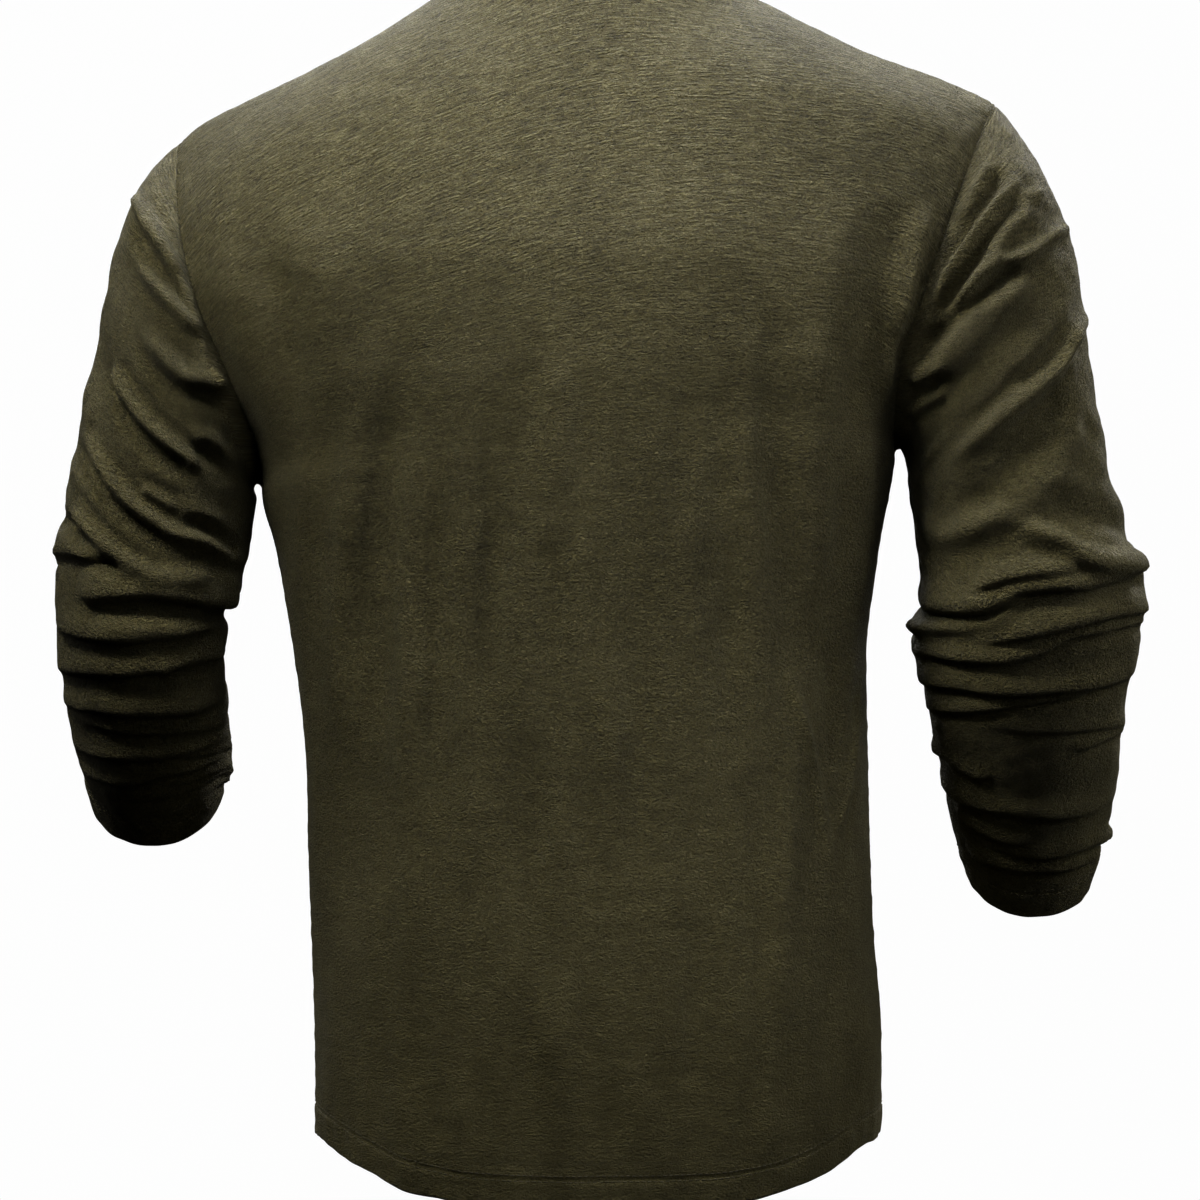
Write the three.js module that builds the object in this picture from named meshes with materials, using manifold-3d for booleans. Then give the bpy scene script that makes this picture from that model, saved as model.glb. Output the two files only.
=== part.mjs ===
// Long-sleeved henley shirt, worn size, filled out with no wearer.
// Millimetres, +Z up, +Y out of the shirt's back, +X to the wearer's left.
// The origin is the middle of the neck opening, at the level of the shoulders'
// inner ends.  Every panel's drawn surface is the outer face of the cloth and
// the wall lies inside it.
import * as THREE from 'three';
import { mergeVertices } from 'three/addons/utils/BufferGeometryUtils.js';
import Module from 'manifold-3d';

const wasm = await Module();
wasm.setup();

// ---------------------------------------------------------------- sizes
const CLOTH = 1.5; // wall of the jersey panels
const SEAM = 0.3; // gap between two sewn pieces
const NECK_HALF = 80; // half the width of the neck opening
const NECK_SHARE = 0.33; // share of a panel's half width that is neckline at its top
const RIDGE_Y = 4; // the shoulder seams' place, front to back
const BAND_H = 20; // neckband height
const BAND_T = 2.2; // neckband, two layers of rib
const PLACKET_W = 30; // placket strip width
const PLACKET_L = 140; // placket length below the neckline
const PLACKET_T = 1.5; // one placket strip
const LIFT = 0.6; // gap between the panel's flat facets and a strip laid along it
const SLIT_W = 24; // opening in the front panel under the placket
const BUTTON_R = 5.6;
const BUTTON_T = 2.4;
const BUTTON_DROPS = [16, 58, 100]; // down the placket from the neckline

// Torso sections from the hem up.  xl, zl and xr, zr: the +x and -x edge (side
// seam, then armhole).  eb, ef: how far the back and front armhole edges stand
// behind and in front of the middle.  fx: the front armhole's inset.  cb, zb
// and cf, zf: centre back and centre front.  phi: half the angle that the
// section turns through, 90 where front and back meet in a side seam.  sq: how
// much squarer than an ellipse the section is.
const BODY_ROWS = [
  { name: 'hem', xl: 162, zl: -667, xr: 164.5, zr: -667, eb: 0, ef: 0, fx: 0, cb: 113, zb: -698, cf: 117, zf: -699, phi: 90, sq: 0.35 },
  { name: 'hip', xl: 162.5, zl: -612, xr: 166, zr: -612, eb: 0, ef: 0, fx: 0, cb: 114, zb: -618, cf: 118, zf: -618, phi: 90, sq: 0.35 },
  { name: 'seat', xl: 164.5, zl: -545, xr: 161, zr: -545, eb: 0, ef: 0, fx: 0, cb: 110, zb: -546, cf: 119, zf: -546, phi: 90, sq: 0.36 },
  { name: 'waist', xl: 166.5, zl: -465, xr: 158.5, zr: -465, eb: 0, ef: 0, fx: 0, cb: 104, zb: -465, cf: 121, zf: -465, phi: 90, sq: 0.37 },
  { name: 'ribs', xl: 174.2, zl: -392, xr: 157.3, zr: -392, eb: 0, ef: 0, fx: 0, cb: 103, zb: -391, cf: 126, zf: -391, phi: 90, sq: 0.4 },
  { name: 'chest', xl: 184.5, zl: -333, xr: 164.5, zr: -331, eb: 0, ef: 0, fx: 0, cb: 107, zb: -328, cf: 133, zf: -328, phi: 90, sq: 0.45 },
  { name: 'armpit', xl: 192.6, zl: -297, xr: 173.6, zr: -277, eb: 0, ef: 0, fx: 0, cb: 111, zb: -283, cf: 136, zf: -284, phi: 90, sq: 0.5 },
  { name: 'base', xl: 192.8, zl: -279, xr: 171.6, zr: -259, eb: 27, ef: 26, fx: 1, cb: 113, zb: -258, cf: 136, zf: -262, phi: 80, sq: 0.4 },
  { name: 'low', xl: 205.8, zl: -238, xr: 173.5, zr: -225, eb: 57, ef: 52, fx: 5, cb: 116, zb: -222, cf: 134, zf: -230, phi: 66, sq: 0.36 },
  { name: 'mid', xl: 224.6, zl: -192.5, xr: 185, zr: -190, eb: 66, ef: 60, fx: 10, cb: 115, zb: -172, cf: 124, zf: -188, phi: 60, sq: 0.35 },
  { name: 'high', xl: 234.5, zl: -156, xr: 203.5, zr: -138, eb: 57, ef: 52, fx: 7, cb: 103, zb: -120, cf: 108, zf: -146, phi: 60, sq: 0.35 },
  { name: 'top', xl: 239.5, zl: -121, xr: 220.5, zr: -94, eb: 34, ef: 30, fx: 3, cb: 83, zb: -62, cf: 88, zf: -108, phi: 60, sq: 0.35 },
];
const ARMPIT_ROW = 6; // where the armholes start
const NECK_BACK = { y: 62, z: -10 }; // centre back of the neckline
const NECK_FRONT = { y: 74, z: -72 }; // centre front of the neckline

// The shoulder seam from the neck (at 0) to its tip (at 1).
const SHOULDER_ROWS = [
  { at: 0, xl: 80, zl: -3, xr: 80, zr: -6 },
  { at: 0.25, xl: 120, zl: -29, xr: 118, zr: -25 },
  { at: 0.5, xl: 160, zl: -51.5, xr: 156, zr: -43 },
  { at: 0.75, xl: 200, zl: -71, xr: 193, zr: -56.5 },
  { at: 0.92, xl: 228, zl: -85, xr: 219, zr: -66.5 },
  { at: 1, xl: 240.5, zl: -96, xr: 231, zr: -73 },
];

// The panels' largest soft folds: from x0, z0 down to x1, z1, standing out by
// out (in, where negative), half as wide as wide.
const FOLDS = [
  { panel: 1, x0: 106, z0: -204, x1: 144, z1: -555, out: -4, wide: 17 },
  { panel: 1, x0: 42, z0: -232, x1: 72, z1: -438, out: -3, wide: 16 },
  { panel: 1, x0: -14, z0: -276, x1: -14, z1: -443, out: -2, wide: 13 },
  { panel: 1, x0: -53, z0: -232, x1: -64, z1: -382, out: -2.5, wide: 14 },
  { panel: 1, x0: -89, z0: -237, x1: -131, z1: -438, out: -3.5, wide: 16 },
  { panel: -1, x0: 92, z0: -250, x1: 118, z1: -560, out: -4, wide: 18 },
  { panel: -1, x0: 46, z0: -330, x1: 58, z1: -590, out: -2.5, wide: 16 },
  { panel: -1, x0: -40, z0: -310, x1: -66, z1: -520, out: -2.5, wide: 16 },
  { panel: -1, x0: -88, z0: -245, x1: -124, z1: -500, out: -3.5, wide: 17 },
];

// Sleeve sections from the shoulder down.  xo, zo: outermost point; xi, zi:
// innermost point; yc: depth of the middle; b: half depth; tilt: degrees that
// the section's back leans down, as the forearm reaches forward.
const SLEEVE_L = [
  { name: 'cap', xo: 258.3, zo: -113.9, xi: 196.0, zi: -292.5, yc: 4, b: 70, tilt: 0 },
  { name: 'deltoid', xo: 272.0, zo: -143.0, xi: 197.6, zi: -295.8, yc: 6, b: 69, tilt: 0 },
  { name: 'upper', xo: 282.2, zo: -185.4, xi: 196.2, zi: -302.2, yc: 8, b: 65, tilt: 0 },
  { name: 'biceps', xo: 290.7, zo: -230.0, xi: 197.4, zi: -313.2, yc: 9, b: 61, tilt: 0 },
  { name: 'middle', xo: 299.9, zo: -273.3, xi: 199.8, zi: -330.5, yc: 10, b: 58, tilt: 0 },
  { name: 'lower', xo: 307.8, zo: -317.8, xi: 205.0, zi: -348.4, yc: 11, b: 55, tilt: 0 },
  { name: 'elbow', xo: 311.6, zo: -357.7, xi: 211.9, zi: -366.9, yc: 9, b: 53, tilt: -10 },
  { name: 'gather', xo: 310.5, zo: -390.5, xi: 215.6, zi: -397.1, yc: -2, b: 50, tilt: -22 },
  { name: 'forearm', xo: 308.0, zo: -423.0, xi: 215.8, zi: -425.5, yc: -22, b: 48, tilt: -34 },
  { name: 'wrist', xo: 304.0, zo: -451.0, xi: 217.4, zi: -452.5, yc: -45, b: 45, tilt: -41 },
  { name: 'cuff', xo: 299.5, zo: -475.0, xi: 222.8, zi: -476.0, yc: -67, b: 42, tilt: -43 },
];
const SLEEVE_R = [
  { name: 'cap', xo: 250.2, zo: -98.2, xi: 177.0, zi: -272.5, yc: 4, b: 70, tilt: 0 },
  { name: 'deltoid', xo: 266.3, zo: -127.3, xi: 178.9, zi: -276.6, yc: 5, b: 70, tilt: 0 },
  { name: 'upper', xo: 277.8, zo: -166.1, xi: 180.2, zi: -282.5, yc: 6, b: 68, tilt: 0 },
  { name: 'biceps', xo: 284.5, zo: -206.8, xi: 181.6, zi: -292.9, yc: 8, b: 65, tilt: 0 },
  { name: 'middle', xo: 289.5, zo: -247.3, xi: 183.7, zi: -309.2, yc: 10, b: 62, tilt: 0 },
  { name: 'lower', xo: 296.3, zo: -286.1, xi: 186.0, zi: -328.2, yc: 11, b: 60, tilt: 0 },
  { name: 'above_elbow', xo: 309.5, zo: -322.5, xi: 188.6, zi: -347.3, yc: 12, b: 59, tilt: -3 },
  { name: 'elbow', xo: 316.2, zo: -352.0, xi: 187.6, zi: -364.0, yc: 10, b: 58, tilt: -10 },
  { name: 'gather', xo: 316.0, zo: -380.0, xi: 186.0, zi: -386.5, yc: 1, b: 56, tilt: -19 },
  { name: 'forearm', xo: 308.6, zo: -414.0, xi: 193.2, zi: -417.1, yc: -15, b: 53, tilt: -29 },
  { name: 'below', xo: 308.0, zo: -447.5, xi: 201.5, zi: -447.8, yc: -38, b: 50, tilt: -36 },
  { name: 'wrist', xo: 306.0, zo: -482.4, xi: 210.4, zi: -482.4, yc: -66, b: 46, tilt: -39 },
  { name: 'cuff', xo: 299.5, zo: -517.0, xi: 221.5, zi: -517.3, yc: -94, b: 46, tilt: -43 },
];

// Pushed-up cloth below the elbow: how far along the sleeve (0 armhole, 1 cuff)
// each roll stands out, and each pinch between two rolls draws in.
const ROLLS_L = [
  { at: 0.6, out: 0 }, { at: 0.645, out: 2.5 }, { at: 0.67, out: -2 }, { at: 0.7, out: 2.5 },
  { at: 0.727, out: -2.5 }, { at: 0.755, out: 2 }, { at: 0.785, out: -2.5 }, { at: 0.812, out: 2 },
  { at: 0.84, out: -2 }, { at: 0.868, out: 2.2 }, { at: 0.895, out: -2 }, { at: 0.92, out: 1.6 },
  { at: 0.945, out: -1.6 }, { at: 0.97, out: 0.6 }, { at: 1, out: 0 },
];
const ROLLS_R = [
  { at: 0.55, out: 0 }, { at: 0.6, out: 3 }, { at: 0.635, out: -3 }, { at: 0.67, out: 3.5 },
  { at: 0.7, out: -2.5 }, { at: 0.73, out: 2.5 }, { at: 0.76, out: -2.5 }, { at: 0.79, out: 2.2 },
  { at: 0.82, out: -2 }, { at: 0.85, out: 2 }, { at: 0.88, out: -2 }, { at: 0.91, out: 2 },
  { at: 0.94, out: -1.6 }, { at: 0.97, out: 0.6 }, { at: 1, out: 0 },
];

// ---------------------------------------------------------------- maths
const rad = (d) => (d * Math.PI) / 180;
const mix = (a, b, t) => a + (b - a) * t;
const clamp01 = (t) => Math.min(1, Math.max(0, t));
const smoothstep = (a, b, t) => {
  const s = clamp01((t - a) / (b - a));
  return s * s * (3 - 2 * s);
};

// Monotone cubic through (xs, ys), read at x.
function cubic(xs, ys, x) {
  const n = xs.length;
  const h = [], d = [];
  for (let i = 0; i < n - 1; i++) {
    h.push(xs[i + 1] - xs[i]);
    d.push((ys[i + 1] - ys[i]) / h[i]);
  }
  const slope = (i) => {
    if (i === 0 || i === n - 1) {
      const [h0, h1, d0, d1] = i === 0 ? [h[0], h[1], d[0], d[1]] : [h[n - 2], h[n - 3], d[n - 2], d[n - 3]];
      let m = ((2 * h0 + h1) * d0 - h0 * d1) / (h0 + h1);
      if (m * d0 <= 0) m = 0;
      else if (d0 * d1 <= 0 && Math.abs(m) > Math.abs(3 * d0)) m = 3 * d0;
      return m;
    }
    if (d[i - 1] * d[i] <= 0) return 0;
    const w1 = 2 * h[i] + h[i - 1], w2 = h[i] + 2 * h[i - 1];
    return (w1 + w2) / (w1 / d[i - 1] + w2 / d[i]);
  };
  let k = 0;
  while (k < n - 2 && x > xs[k + 1]) k++;
  const t = (x - xs[k]) / h[k], t2 = t * t, t3 = t2 * t;
  return (
    ys[k] * (2 * t3 - 3 * t2 + 1) + h[k] * slope(k) * (t3 - 2 * t2 + t) +
    ys[k + 1] * (3 * t2 - 2 * t3) + h[k] * slope(k + 1) * (t3 - t2)
  );
}
const column = (rows, key) => rows.map((r) => r[key]);
const add = (a, b, k = 1) => [a[0] + b[0] * k, a[1] + b[1] * k, a[2] + b[2] * k];
const sub = (a, b) => [a[0] - b[0], a[1] - b[1], a[2] - b[2]];
const cross = (a, b) => [a[1] * b[2] - a[2] * b[1], a[2] * b[0] - a[0] * b[2], a[0] * b[1] - a[1] * b[0]];
const len = (a) => Math.hypot(a[0], a[1], a[2]);
const unit = (a) => add([0, 0, 0], a, 1 / (len(a) || 1));

// ---------------------------------------------------------------- torso
// A point of a section: u runs from the -x edge (-1) to the +x edge (1).
function sectionPoint(row, panel, u) {
  const phi = rad(row.phi);
  const s = (Math.cos(phi * u) - Math.cos(phi)) / (1 - Math.cos(phi));
  const w = (1 + Math.sin(phi * u) / Math.sin(phi)) / 2;
  const fx = panel > 0 ? 0 : row.fx;
  const e = panel > 0 ? row.eb : row.ef;
  const c = panel > 0 ? row.cb : row.cf;
  const zc = panel > 0 ? row.zb : row.zf;
  const full = s + row.sq * s * (1 - s);
  return [
    mix(-(row.xr - fx), row.xl - fx, w),
    panel * (e + (c - e) * full),
    mix(row.zr, row.zl, w) + (zc - (row.zr + row.zl) / 2) * (row.phi === 90 ? Math.pow(Math.sin(rad(90) * clamp01(s)), 3.8) : Math.pow(clamp01(s), 1.15)),
  ];
}
// The top edge: neckline in the middle, a shoulder seam on each side.
function topPoint(panel, u) {
  const a = Math.abs(u), left = u > 0;
  const at = (x) => cubic(column(SHOULDER_ROWS, 'at'), column(SHOULDER_ROWS, x), clamp01((a - NECK_SHARE) / (1 - NECK_SHARE)));
  if (a >= NECK_SHARE) return left ? [at('xl'), RIDGE_Y, at('zl')] : [-at('xr'), RIDGE_Y, at('zr')];
  const w = rad(90) * (u / NECK_SHARE), c = Math.cos(w);
  const centre = panel > 0 ? NECK_BACK : NECK_FRONT;
  const side = mix(SHOULDER_ROWS[0].zr, SHOULDER_ROWS[0].zl, (1 + Math.sin(w)) / 2);
  return [NECK_HALF * Math.sin(w), RIDGE_Y + (panel * centre.y - RIDGE_Y) * c, side + (centre.z - side) * Math.pow(c, panel > 0 ? 1.3 : 0.9)];
}
const ROWS = BODY_ROWS.length;
// How far up the panel each section is, averaged over edges and centre.
function knotsOf(panel) {
  const at = (i, u) => (i < ROWS ? sectionPoint(BODY_ROWS[i], panel, u) : topPoint(panel, u));
  const out = [0];
  for (let i = 1; i <= ROWS; i++) {
    const step = [-0.97, -0.6, 0, 0.6, 0.97].reduce((sum, u) => sum + len(sub(at(i, u), at(i - 1, u))) / 5, 0);
    out.push(out[i - 1] + step);
  }
  return out;
}
const KNOTS = { 1: knotsOf(1), '-1': knotsOf(-1) };
const GHOST = 45; // the far shoulder slope, for a rounded top
// How far the soft folds move a point of a panel out.
function foldOut(panel, u, p) {
  let out = 0;
  for (const f of FOLDS) {
    if (f.panel !== panel) continue;
    const s = (f.z0 - p[2]) / (f.z0 - f.z1);
    const side = (p[0] - mix(f.x0, f.x1, clamp01(s))) / f.wide;
    const fade = smoothstep(-0.25, 0.25, s) * (1 - smoothstep(0.75, 1.25, s));
    out += f.out * fade * Math.exp(-side * side);
  }
  return out * (1 - smoothstep(0.8, 0.97, Math.abs(u)));
}
// A point of the front (-1) or back (1) panel at u, v, where v is a section
// number: 0 the hem, ROWS the top edge.
function bodyPoint(panel, u, v) {
  const p = smoothPoint(panel, u, v), a = rad(90) * u;
  return add(p, [Math.sin(a), panel * Math.cos(a), 0], foldOut(panel, u, p));
}
function smoothPoint(panel, u, v) {
  const pts = BODY_ROWS.map((r) => sectionPoint(r, panel, u));
  const top = topPoint(panel, u);
  pts.push(top);
  const far = sectionPoint(BODY_ROWS[ROWS - 1], -panel, u);
  const on = add(top, sub(top, pts[ROWS - 1]), 0.6);
  const w = smoothstep(NECK_SHARE - 0.16, NECK_SHARE + 0.26, Math.abs(u));
  pts.push([0, 1, 2].map((k) => mix(on[k], far[k], w)));
  const ks = [...KNOTS[panel], KNOTS[panel][ROWS] + GHOST];
  const i = Math.min(ROWS - 1, Math.floor(v));
  const k = mix(ks[i], ks[i + 1], v - i);
  return [0, 1, 2].map((c) => cubic(ks, pts.map((p) => p[c]), k));
}

// ---------------------------------------------------------------- shells
// Outward normals of a surface f(u, v), one-sided at the ends of its ranges.
function normalAt(f, u, v, ur, vr, sign, wrapU) {
  const hu = (ur[1] - ur[0]) * 2e-3, hv = (vr[1] - vr[0]) * 2e-3;
  const u0 = wrapU ? u - hu : Math.max(ur[0], u - hu), u1 = wrapU ? u + hu : Math.min(ur[1], u + hu);
  const v0 = Math.max(vr[0], v - hv), v1 = Math.min(vr[1], v + hv);
  return unit(cross(sub(f(u1, v), f(u0, v)), sub(f(u, v1), f(u, v0))).map((c) => c * sign));
}
// A closed wall between two grids of points, outer[i][j] and inner[i][j].
function wall(outer, inner, wrap, sign) {
  const m = outer.length, n = outer[0].length, pos = [], idx = [];
  for (const g of [outer, inner]) for (const row of g) for (const p of row) pos.push(...p);
  const at = (k, i, j) => (k * m + i) * n + (j % n);
  const quad = (a, b, c, d, flip) => (flip ? idx.push(a, c, b, a, d, c) : idx.push(a, b, c, a, c, d));
  const cols = wrap ? n : n - 1;
  for (let i = 0; i < m - 1; i++)
    for (let j = 0; j < cols; j++) {
      quad(at(0, i, j), at(0, i, j + 1), at(0, i + 1, j + 1), at(0, i + 1, j), sign < 0);
      quad(at(1, i, j), at(1, i, j + 1), at(1, i + 1, j + 1), at(1, i + 1, j), sign > 0);
    }
  for (let j = 0; j < cols; j++) {
    quad(at(0, 0, j), at(1, 0, j), at(1, 0, j + 1), at(0, 0, j + 1), sign < 0);
    quad(at(0, m - 1, j), at(1, m - 1, j), at(1, m - 1, j + 1), at(0, m - 1, j + 1), sign > 0);
  }
  if (!wrap)
    for (let i = 0; i < m - 1; i++) {
      quad(at(0, i, 0), at(1, i, 0), at(1, i + 1, 0), at(0, i + 1, 0), sign > 0);
      quad(at(0, i, n - 1), at(1, i, n - 1), at(1, i + 1, n - 1), at(0, i + 1, n - 1), sign < 0);
    }
  const g = new THREE.BufferGeometry();
  g.setAttribute('position', new THREE.Float32BufferAttribute(pos, 3));
  g.setIndex(idx);
  return g;
}
function toSolid(geometry) {
  const g = geometry.clone();
  g.deleteAttribute('normal');
  g.deleteAttribute('uv');
  const m = mergeVertices(g, 1e-4);
  return new wasm.Manifold(new wasm.Mesh({ numProp: 3, vertProperties: m.attributes.position.array, triVerts: new Uint32Array(m.index.array) }));
}
function fromSolid(solid) {
  const mesh = solid.getMesh(), g = new THREE.BufferGeometry();
  g.setAttribute('position', new THREE.Float32BufferAttribute(mesh.vertProperties, 3));
  g.setIndex([...mesh.triVerts]);
  g.computeVertexNormals();
  return g;
}

// ---------------------------------------------------------------- panels
// Where the columns of a panel are cut, in u: neckline angles in the middle, with
// one at each side of the placket, then even steps along the shoulder.
const NECK_STEPS = 5, SHOULDER_STEPS = 6;
const PLACKET_U = (NECK_SHARE * Math.asin(PLACKET_W / 2 / NECK_HALF)) / rad(90);
const HALF_U = [0, PLACKET_U];
for (let k = 1; k <= NECK_STEPS; k++) HALF_U.push(mix(PLACKET_U, NECK_SHARE, k / NECK_STEPS));
for (let k = 1; k <= SHOULDER_STEPS; k++) HALF_U.push(mix(NECK_SHARE, 1, k / SHOULDER_STEPS));
const U_LIST = [...HALF_U.slice(1).reverse().map((u) => -u), ...HALF_U];
// Where the rows of a panel are cut: one step between the lower sections and
// two between those of the armhole, where the sleeve's points meet them.
const V_LIST = [];
for (let i = 0; i < ROWS; i++) {
  const steps = i < 1 ? 2 : i < ARMPIT_ROW ? 1 : 2;
  for (let k = 0; k < steps; k++) V_LIST.push(i + k / steps);
}
V_LIST.push(ROWS);
const EDGE = 1 - 0.0008; // leaves half a seam gap at each side edge
function panelGrid(panel) {
  const outer = [], inner = [];
  for (const v of V_LIST) {
    const ro = [], ri = [];
    const lift = v > ROWS - 1e-6 ? SEAM / 2 : 0; // half the shoulder seam's gap
    for (const u of U_LIST) {
      const uu = u * EDGE;
      const p = bodyPoint(panel, uu, v);
      if (Math.abs(u) > NECK_SHARE - 0.01) p[1] += panel * lift;
      let n = normalAt((a, b) => bodyPoint(panel, a, b), uu, v, [-1, 1], [0, ROWS], -panel, false);
      // Both panels end in the seam's own plane at the shoulders and sides.
      const onShoulder = lift > 0 && Math.abs(u) > NECK_SHARE - 0.01;
      const onSide = Math.abs(u) > 1 - 1e-6 && v <= ARMPIT_ROW;
      if (onShoulder || onSide) n = unit([n[0], 0, n[2]]);
      ro.push(p);
      ri.push(add(p, n, -CLOTH));
    }
    outer.push(ro);
    inner.push(ri);
  }
  return { outer, inner };
}
const back = panelGrid(1), front = panelGrid(-1);

// ---------------------------------------------------------------- sleeves
// The armhole loop, from the shoulder tip (0) down the back to the armpit (1)
// and up the front to the tip again (2), as the panels' own edge points.
function armhole(side) {
  const vs = V_LIST.filter((v) => v >= ARMPIT_ROW);
  const point = (panel, v) => ({
    p: bodyPoint(panel, side, v),
    n: normalAt((a, b) => bodyPoint(panel, a, b), side, v, [-1, 1], [0, ROWS], -panel, false),
  });
  const half = (panel) => vs.map((v) => point(panel, v)).reverse();
  const shares = (pts) => {
    const s = [0];
    for (let i = 1; i < pts.length; i++) s.push(s[i - 1] + len(sub(pts[i].p, pts[i - 1].p)));
    return s.map((x) => x / s[s.length - 1]);
  };
  const b = half(1), f = half(-1), sb = shares(b), sf = shares(f);
  const loop = b.map((q, i) => ({ ...q, turn: sb[i] }));
  for (let i = f.length - 2; i > 0; i--) loop.push({ ...f[i], turn: 2 - sf[i] });
  return loop;
}
function stationPoint(row, side, turn) {
  const a = Math.PI * turn, t = rad(row.tilt);
  const half = [(side * (row.xo - row.xi)) / 2, 0, (row.zo - row.zi) / 2];
  const c = [(side * (row.xo + row.xi)) / 2, row.yc, (row.zo + row.zi) / 2];
  return add(add(c, half, Math.cos(a)), [0, row.b * Math.cos(t), row.b * Math.sin(t)], Math.sin(a));
}
function sleeve(side, rows, rolls, upper) {
  const loop = armhole(side);
  // Each ring column passes through its own point of every section.
  const lines = loop.map((q) => {
    const outward = unit(sub(stationPoint(rows[0], side, q.turn), q.p));
    return [add(q.p, outward, SEAM), ...rows.map((r) => stationPoint(r, side, q.turn))];
  });
  const ks = [0];
  for (let i = 1; i <= rows.length; i++) ks.push(ks[i - 1] + lines.reduce((s, l) => s + len(sub(l[i], l[i - 1])), 0) / lines.length);
  const total = ks[ks.length - 1];
  const n = loop.length;
  const col = (j) => lines[((j % n) + n) % n];
  const pointAt = (j, t) => [0, 1, 2].map((c) => cubic(ks, col(j).map((p) => p[c]), t * total));
  const ts = [];
  for (let k = 0; k < upper; k++) ts.push((rolls[0].at * k) / upper);
  for (const r of rolls) ts.push(r.at);
  const outer = [], inner = [];
  ts.forEach((t, i) => {
    const out = t < rolls[0].at ? 0 : rolls.find((r) => r.at === t).out;
    const ro = [], ri = [];
    for (let j = 0; j < n; j++) {
      const p = pointAt(j, t);
      const along = sub(pointAt(j, Math.min(1, t + 0.01)), pointAt(j, Math.max(0, t - 0.01)));
      const round = sub(pointAt(j + 1, t), pointAt(j - 1, t));
      const nrm = i === 0 ? loop[j].n : unit(cross(along, round).map((c) => c * side));
      const q = add(p, nrm, out);
      ro.push(q);
      ri.push(add(q, nrm, -CLOTH));
    }
    outer.push(ro);
    inner.push(ri);
  });
  return wall(outer, inner, true, -side);
}

// ---------------------------------------------------------------- neckband
const NECK_AXIS_Y = -6;
const LEAN = { back: 16, side: 8, front: 34 }; // degrees that the band leans in
// The neckline as a loop from the placket's free edge on the -x side, round
// the back and across the placket to that edge again, through the same points
// as the panels' own top edges.
function neckLoop() {
  const rim = HALF_U.filter((u) => u > 0 && u <= NECK_SHARE + 1e-9);
  const front = (sign) => rim.map((u) => topPoint(-1, sign * u));
  const across = [...rim.slice(0, -1).reverse().map((u) => -u), 0, ...rim.slice(0, -1)];
  return [...front(-1), ...across.map((u) => topPoint(1, u)), ...front(1).reverse(), topPoint(-1, 0), topPoint(-1, -PLACKET_U)];
}
function bandFrame(p) {
  const r = unit([p[0], p[1] - NECK_AXIS_Y, 0]);
  const lean = rad(r[1] > 0 ? mix(LEAN.side, LEAN.back, r[1]) : mix(LEAN.side, LEAN.front, -r[1]));
  const up = [-r[0] * Math.sin(lean), -r[1] * Math.sin(lean), Math.cos(lean)];
  const out = [r[0] * Math.cos(lean), r[1] * Math.cos(lean), Math.sin(lean)];
  return { up, out };
}
function neckband() {
  const loop = neckLoop();
  // Section of the doubled rib, out and up from the neckline.
  const section = [
    { out: 0, up: 0.5 }, { out: 0.5, up: 6 }, { out: 0.5, up: 14 }, { out: 0, up: BAND_H },
    { out: -BAND_T, up: BAND_H }, { out: -BAND_T - 0.3, up: 10 }, { out: -BAND_T, up: 1 },
  ];
  const pos = [], idx = [], n = section.length, m = loop.length;
  loop.forEach((p, i) => {
    const gap = i === 0 ? [-0.4, 0, 0] : i === m - 1 ? [0.4, 0, 0] : [0, 0, 0];
    const { up, out } = bandFrame(p);
    for (const s of section) pos.push(...add(add(add(p, out, s.out), up, s.up), gap));
  });
  for (let i = 0; i < m - 1; i++)
    for (let k = 0; k < n; k++) {
      const a = i * n + k, b = i * n + ((k + 1) % n), c = (i + 1) * n + ((k + 1) % n), d = (i + 1) * n + k;
      idx.push(a, b, c, a, c, d);
    }
  for (let k = 1; k < n - 1; k++) {
    idx.push(0, k + 1, k);
    const e = (m - 1) * n;
    idx.push(e, e + k, e + k + 1);
  }
  const g = new THREE.BufferGeometry();
  g.setAttribute('position', new THREE.Float32BufferAttribute(pos, 3));
  g.setIndex(idx);
  return g;
}

// ---------------------------------------------------------------- placket
// The front panel's u where it is at x, at height v.
function frontU(x, v) {
  let lo = -0.6, hi = 0.6;
  for (let i = 0; i < 40; i++) {
    const m = (lo + hi) / 2;
    if (bodyPoint(-1, m, v)[0] < x) lo = m;
    else hi = m;
  }
  return (lo + hi) / 2;
}
// The front panel's v that is a drop below the neckline down the centre.
function frontV(drop) {
  let v = ROWS, gone = 0, p = bodyPoint(-1, 0, v);
  while (gone < drop) {
    const q = bodyPoint(-1, 0, v - 0.01);
    gone += len(sub(q, p));
    p = q;
    v -= 0.01;
  }
  return v;
}
function frontAt(x, drop) {
  const v = frontV(drop), u = frontU(x, v);
  return { p: bodyPoint(-1, u, v), n: normalAt((a, b) => bodyPoint(-1, a, b), u, v, [-1, 1], [0, ROWS], 1, false) };
}
// A strip of the front panel's own points, moved out by off and thick mm.
function strip(halfWidth, from, to, off, thick) {
  const outer = [], inner = [];
  for (let i = 0; i <= 12; i++) {
    const drop = mix(to, from, i / 12), ro = [], ri = [];
    for (let j = 0; j <= 4; j++) {
      const { p, n } = frontAt(mix(-halfWidth, halfWidth, j / 4), drop);
      ro.push(add(p, n, off + thick));
      ri.push(add(p, n, off));
    }
    outer.push(ro);
    inner.push(ri);
  }
  return wall(outer, inner, false, 1);
}
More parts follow.
